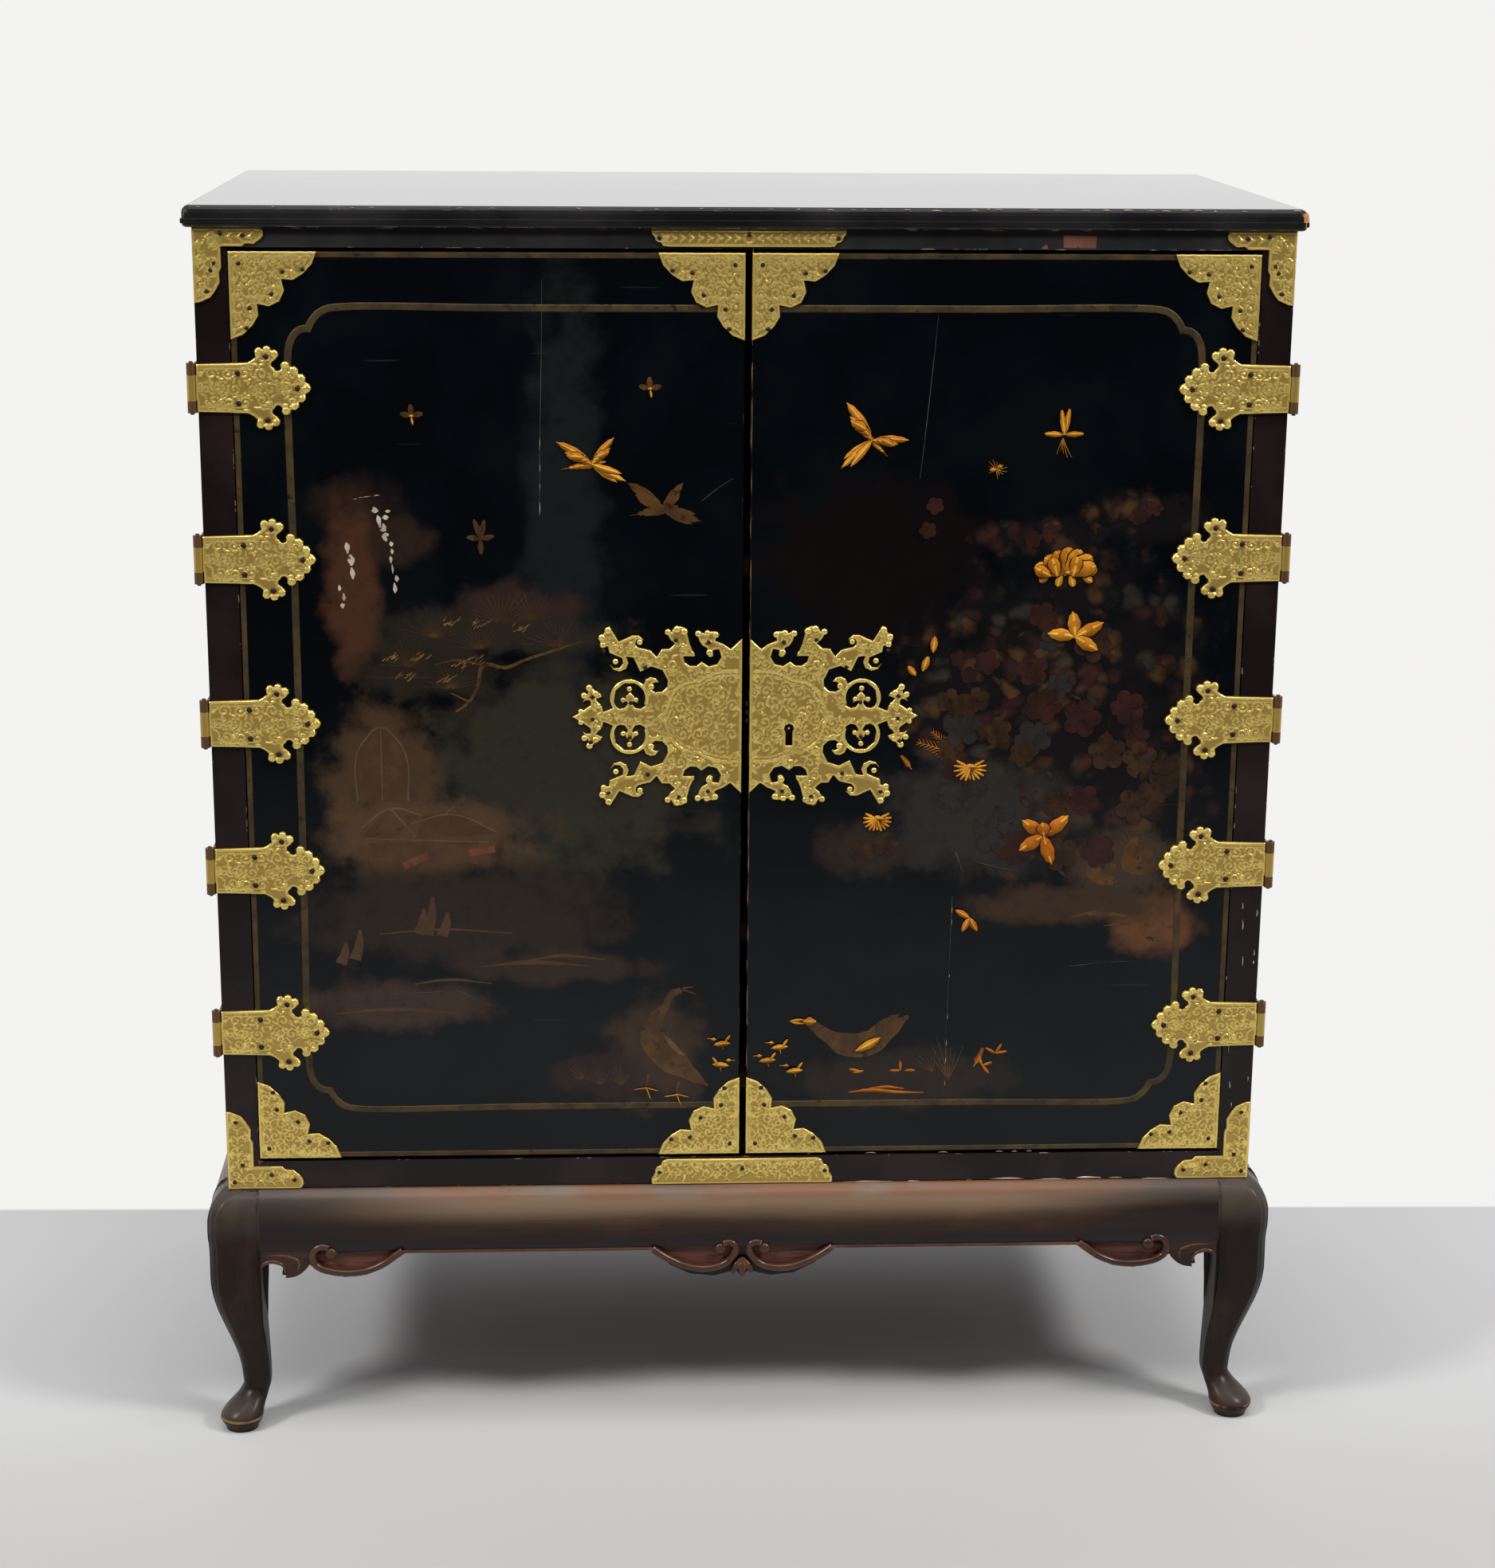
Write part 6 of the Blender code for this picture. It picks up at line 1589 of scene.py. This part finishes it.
# %% Losses
def flakes(x0, z0, x1, z1, seed, longest=14.0, widest=0.8, gap=18.0):
    """Short pale flakes scattered along a line, none twice the same."""
    chance = Random(seed)
    whole = math.hypot(x1 - x0, z1 - z0)
    way_x, way_z = (x1 - x0) / whole, (z1 - z0) / whole
    lines, at = [], 0.0
    while at < whole:
        length, half = chance.uniform(0.25, 1.0) * longest, chance.uniform(0.4, 1.0) * widest
        off = chance.uniform(-1, 1) * widest
        x, z = x0 + way_x * at - way_z * off, z0 + way_z * at + way_x * off
        bulge = chance.uniform(0.3, 0.7) * length
        crown = x + way_x * bulge - way_z * 0.3, z + way_z * bulge + way_x * 0.3, half
        tip = x + way_x * length, z + way_z * length, 0.3 * half
        lines.append([(x, z, 0.3 * half), crown, tip])
        at += length + chance.uniform(0.1, 1.0) * gap
    return lines


BARE = {name: gilding(name, *tones, metal=0.0, shine=0.1) for name, *tones in (
    ("grey_line", (0.095, 0.093, 0.088), (0.045, 0.044, 0.042), (0.020, 0.019, 0.018), 0.25),
    ("raw_edge", (0.36, 0.17, 0.075), (0.20, 0.085, 0.040), (0.07, 0.035, 0.02), 0.25),
    ("worn_bone", (0.56, 0.47, 0.36), (0.30, 0.245, 0.215), (0.085, 0.062, 0.062), 0.30),
    ("raw_red_wood", (0.190, 0.082, 0.055), (0.130, 0.055, 0.038), (0.070, 0.032, 0.024), 0.10),
    ("arris_speck", (0.50, 0.37, 0.17), (0.30, 0.19, 0.08), (0.08, 0.05, 0.03), 0.20),
)}
PAINT.update(BARE)
print("bare and split places:", list(BARE))

# %% Splits and flakes on doors and case
MEETING_EDGE = 3.7
ROCK_FLAKES = ((-322, 880, -315, 842, 11, 4.6), (-319, 876, -316, 850, 8, 4.0),
               (-312, 842, -309, 800, 10, 2.4), (-348, 848, -345, 820, 11, 4.0),
               (-356, 810, -355, 790, 9, 2.6), (-345, 886, -322, 889, 8, 0.5))
STILE_FLAKES = (
    (458, 512, 461.5, 424, 51, 14, 0.6, 34), (450.5, 378, 458, 300, 52, 12, 0.6, 30),
    (471.5, 505, 469.5, 432, 53, 9, 0.6, 34), (470, 384, 472, 300, 54, 9, 0.6, 34),
    (60, 271, 300, 270.4, 55, 12, 0.5, 60))
BARE_RAIL = [[(272, 1105), (300, 1104.4), (300.6, 1115), (271.5, 1115.6)],
             [(252, 1104), (259, 1103.6), (257, 1108)]]
splits = {
    "left": [[(-178, 1077, 0.10), (-179, 1020, 0.20), (-181, 940, 0.24), (-182, 872, 0.12)],
             hair(-40, 884, 42, 34, -0.1, 0.22), hair(-262, 434, -28, 40, 0.05, 0.3),
             hair(-320, 430, 6, 44, -0.05, 0.3), hair(-270, 600, 40, 18, 0, 0.4)],
    "right": [[(165, 1047, 0.10), (161, 1000, 0.22), (156.5, 950, 0.24), (152, 904, 0.10)],
              hair(190, 520, -91, 190, 0.0, 0.22), hair(300, 452, 8, 60, -0.06, 0.22),
              hair(214, 552, -18, 36, 0.1, 0.3), hair(192, 562, -70, 20, 0, 0.4)],
}
for side, lines in splits.items():
    strokes(f"hairlines_{side}", lines, "grey_line", thick=LOW_RELIEF, sides=0, steps=6)
left_losses = flakes(-181, 940, -182, 872, 2, 12, 0.35, 12)
strokes("losses_left", left_losses, "bone_paint", thick=LOW_RELIEF, sides=0, steps=3)
rock_losses = []
for number, (*line, longest, widest) in enumerate(ROCK_FLAKES):
    rock_losses += flakes(*line, 71 + number, longest, widest, 3.0)
strokes("rock_losses_left", rock_losses, "worn_bone", 0.1, steps=3)
right_losses = flakes(190, 510, 187, 330, 6, 7, 0.32, 60)
strokes("losses_right", right_losses, "bone_paint", thick=LOW_RELIEF, sides=0, steps=3)
bare_edge = flakes(MEETING_EDGE, 290, MEETING_EDGE, 1085, 83, 26, 0.45, 22)
strokes("bare_meeting_edge_right", bare_edge, "raw_edge", thick=0.4, sides=0, steps=3)
stile_losses = [flake for row in STILE_FLAKES for flake in flakes(*row)]
bead("losses_case", stile_losses, INK_Y, LOW_RELIEF, PAINT["bone_paint"], "cabinet", sides=0, steps=3)
wash("bare_rail", BARE_RAIL, PAINT["raw_red_wood"], "cabinet")
print("flakes on the rock:", len(rock_losses), "and on the case:", len(stile_losses))

# %% [markdown]
# ## Carving on the stand
# The apron is carved with open C-scrolls whose rolled rim stands proud and ends in a curl with a
# round eye. A rim is a thick bead that follows the cut edge and winds up; three small leaves hang
# in the middle.

# %% Carved rims
MIDDLE_SCROLL = [(84, -1.5), (76, -7.5), (66, -13.5), (54, -19), (40, -22.3), (27, -21.6), (15.5, -17),
                 (8.6, -10), (6.2, -3), (8, 1.8), (12.5, 3.6), (17.5, 2.6)]
BRACKET_SCROLL = [(315, -0.5), (322.4, -6), (332, -13), (342.5, -18.2), (354, -21.6), (370, -22.3),
                  (382, -20.6), (391, -17.4), (397, -12), (398.5, -6), (397, -0.8), (393, 3.0), (388, 4.0),
                  (383.5, 2.6)]
ARCH = [(423.5, -21, 1.0), (425, -15, 1.6), (430.5, -11.4, 2.1), (437.5, -10.6, 2.1), (444, -13.2, 1.8),
        (447, -17, 1.2), (448, -21, 0.5)]
VEIN = [(447, -5, 0.8), (434, -4, 1.3), (420, -5.5, 1.6), (411.5, -10.5, 1.7), (411, -16.5, 1.3),
        (415, -21, 0.6)]
MIDDLE_DROP = [(0, -12, 1.5), (0, -21, 4.4), (0, -28, 3.0), (0, -33, 0.8)]
SIDE_DROP = [(2, -13, 1.2), (6, -20, 3.2), (8.5, -26, 2.2), (8, -30, 0.6)]
EYES, EYE_SHARE = ((20.5, -2.8, 5.8), (381, -3.0, 6.1)), 0.75
EDGE_RIM = [(84, -1.6, 1.9), (200, -1.6, 1.9), (316, -1.6, 1.9)]
RIM_Y, RIM_HALF, RIM_DEPTH = APRON_FRONT - 3.5 * MM, 3.6, 1.1


def beside(line, sign):
    """A line of (across, below the rail's foot, half width) on one side of the middle."""
    return [(sign * x, RAIL_FOOT + z, half) for x, z, half in line]


rims = [beside(MIDDLE_DROP, 1), beside(SIDE_DROP, 1), beside(SIDE_DROP, -1)]
for sign in (-1, 1):
    for points in (MIDDLE_SCROLL, BRACKET_SCROLL):
        rims.append(beside([(x, z, RIM_HALF) for x, z in points], sign))
    for line in (ARCH, VEIN, EDGE_RIM):
        rims.append(beside(line, sign))
bead("carved_rims", rims, RIM_Y, RIM_DEPTH, CARVED_WOOD, "cabinet", sides=3, steps=8)
shape = bmesh.new()
for sign in (-1, 1):
    for x, z, radius in EYES:
        middle = Matrix.Translation((sign * x * MM, RIM_Y, (RAIL_FOOT + z) * MM))
        eye = middle @ Matrix.Diagonal((1, EYE_SHARE, 1, 1))
        bmesh.ops.create_uvsphere(shape, u_segments=20, v_segments=12, radius=radius * MM, matrix=eye)
add_piece("carved_eyes", mesh_from(shape, "carved_eyes"), CARVED_WOOD, "cabinet")
print("carved rims:", len(rims))

# %% [markdown]
# Inside each scroll the ground is a redder, rougher wood. Beside the leg a flat leaf with a hooked tip
# stands flush with the rail, and its rounded edge runs over an arch into the leg.

# %% Carved grounds and leaves
LEAF = [(452, 3, 1), (402, 3, 1), (400, -5, 0), (402, -13, 0), (408, -20.5, 0), (414.5, -24.5, 0),
        (422.5, -26, 1), (421.5, -21, 0), (424, -15, 0), (430, -11.5, 0), (437.5, -10.6, 0),
        (444.5, -13.4, 0), (448, -18, 0), (452, -24, 1)]
LEAF_THICK, LEAF_ROUND, LEAF_PROUD, FIELD_PROUD = 1.8 * MM, 0.9 * MM, 2.0 * MM, 0.1 * MM
FIELD_POINTS = 10


def carved_leaf(name, sign):
    """A rounded plate from an outline of (across, below the rail's foot, pointed)."""
    curve = filled_curve(name, LEAF_THICK)
    curve.bevel_depth = LEAF_ROUND
    curve.bevel_resolution = 2
    spline = curve.splines.new("BEZIER")
    spline.use_cyclic_u = True
    spline.bezier_points.add(len(LEAF) - 1)
    for point, (x, z, pointed) in zip(spline.bezier_points, LEAF):
        point.co = (sign * x * MM, (RAIL_FOOT + z) * MM, 0.0)
        point.handle_left_type = point.handle_right_type = "VECTOR" if pointed else "AUTO"
    place = standing_at(APRON_FRONT - LEAF_PROUD)
    return curve_piece(name, curve, place, BRACKET_WOOD, "cabinet")


fields = []
for side, sign in SIDES:
    carved_leaf(f"carved_leaf_{side}", sign)
    for points in (MIDDLE_SCROLL, BRACKET_SCROLL):
        fields.append([(sign * x, RAIL_FOOT + z) for x, z in points[:FIELD_POINTS]])
wash("carved_grounds", fields, FIELD_WOOD, "cabinet", APRON_FRONT - FIELD_PROUD)
print("carved scrolls:", len(fields))

# %% [markdown]
# ## Top, seam and lock
# The top is the most polished face of all, so it gets a skin of its own that ends just short of the
# worn arris. A small bead runs under the rounded edge, and one front corner is knocked down to bare
# wood. Along the seam between case and stand the lacquer has flaked to its pale ground. In the
# keyhole a steel post shows, on which the key turns.

# %% Polished top
top_low, top_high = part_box("top_board")
TOP_ROUND, SKIN = 5.0 * MM, 0.08 * MM


def add_block(shape, middle, size):
    """A plain block, by its middle and its size."""
    bmesh.ops.create_cube(shape, size=1.0, matrix=Matrix.Translation(middle) @ Matrix.Diagonal((*size, 1)))


def soften(shape, offset, segments):
    """Rounds every edge of a shape."""
    bmesh.ops.bevel(shape, geom=shape.edges[:], offset=offset, segments=segments, profile=0.5, affect="EDGES",
                    material=-1)


shape = bmesh.new()
size = (top_high.x - top_low.x - 2 * TOP_ROUND, top_high.y - top_low.y - TOP_ROUND, 2 * SKIN)
add_block(shape, Vector((0, (top_low.y + top_high.y + TOP_ROUND) / 2, top_high.z)), size)
soften(shape, 0.6 * SKIN, 2)
add_piece("polished_top", mesh_from(shape, "polished_top", 8.0), TOP_LACQUER, "cabinet")
print("polished top:", [round(c / MM) for c in size], "mm")

# %% Edge bead
BEAD_HEIGHT, BEAD_PROUD, BEAD_UP, BEAD_ROUND = 4.2 * MM, 0.5 * MM, 5.6 * MM, 0.4 * MM
edge_path = ((top_low.x, top_high.y), (top_low.x, top_low.y), (top_high.x, top_low.y),
             (top_high.x, top_high.y))
shape = bmesh.new()
for (x0, y0), (x1, y1) in zip(edge_path, edge_path[1:]):
    middle = Vector(((x0 + x1) / 2, (y0 + y1) / 2, top_low.z + BEAD_UP))
    add_block(shape, middle, (abs(x1 - x0) + 2 * BEAD_PROUD, abs(y1 - y0) + 2 * BEAD_PROUD, BEAD_HEIGHT))
soften(shape, BEAD_ROUND, 3)
add_piece("top_edge_bead", mesh_from(shape, "top_edge_bead", 12.0), BEAD_LACQUER, "cabinet")
print("bead on", len(edge_path) - 1, "edges of the top")

# %% Worn arris and bare corner
RAW_WOOD = gilding("raw_corner_wood", (0.56, 0.27, 0.10), (0.38, 0.16, 0.055), (0.16, 0.07, 0.03), 0.10,
                   metal=0.0, shine=0.15)
ARRIS, CORNER_IN, CORNER_HALF = 1.5, 2.4, 3.0
arris_z = top_high.z / MM - ARRIS
specks = flakes(-470, arris_z, 40, arris_z, 81, 7, 0.55, 70)
specks += flakes(40, arris_z, 478, arris_z, 82, 9, 0.65, 26)
bead("worn_arris", specks, top_low.y + ARRIS * MM, 0.7, PAINT["arris_speck"], "cabinet", sides=0, steps=2)
corner_x = top_high.x / MM - CORNER_IN
knocked = [[(corner_x + out, z, CORNER_HALF) for out, z in ((0, 1123.5), (0.2, 1129), (-0.8, 1135))]]
bead("bare_corner", knocked, top_low.y + CORNER_IN * MM, 1.0, RAW_WOOD, "cabinet", sides=3, steps=4)
print("specks along the arris:", len(specks))

# %% Seam and key post
SEAM_Z = 242.3
seam = flakes(-60, SEAM_Z, 405, SEAM_Z, 44, 46, 1.6, 14)
bead("flaked_seam", seam, FRONT + 0.1 * MM, 0.35, PAINT["bone_paint"], "cabinet", sides=1, steps=3)

POST_X, POST_Z, POST_DEPTH = 0.039, 0.6785, 8.5 * MM
POST_PROFILE = ((0.0, 8.9), (0.45, 8.8), (1.0, 8.4), (1.4, 7.6), (1.4, 1.4), (1.9, 1.0), (1.9, 0.0),
                (0.0, 0.0))
shape = bmesh.new()
points = [shape.verts.new((radius * MM, 0.0, height * MM)) for radius, height in POST_PROFILE]
edges = [shape.edges.new(pair) for pair in zip(points, points[1:])]
bmesh.ops.spin(shape, geom=points + edges, cent=(0, 0, 0), axis=(0, 0, 1), dvec=(0, 0, 0), angle=2 * math.pi,
               steps=16, use_merge=True)
bmesh.ops.remove_doubles(shape, verts=shape.verts, dist=1e-6)
post_place = Matrix.Translation((POST_X, FRONT + POST_DEPTH, POST_Z)) @ STANDING
bmesh.ops.transform(shape, verts=shape.verts, matrix=post_place)
shining(add_piece("key_post", mesh_from(shape, "key_post"), POST_STEEL, "right_door"))
print("key post stands", POST_PROFILE[0][1], "mm out of the lock")
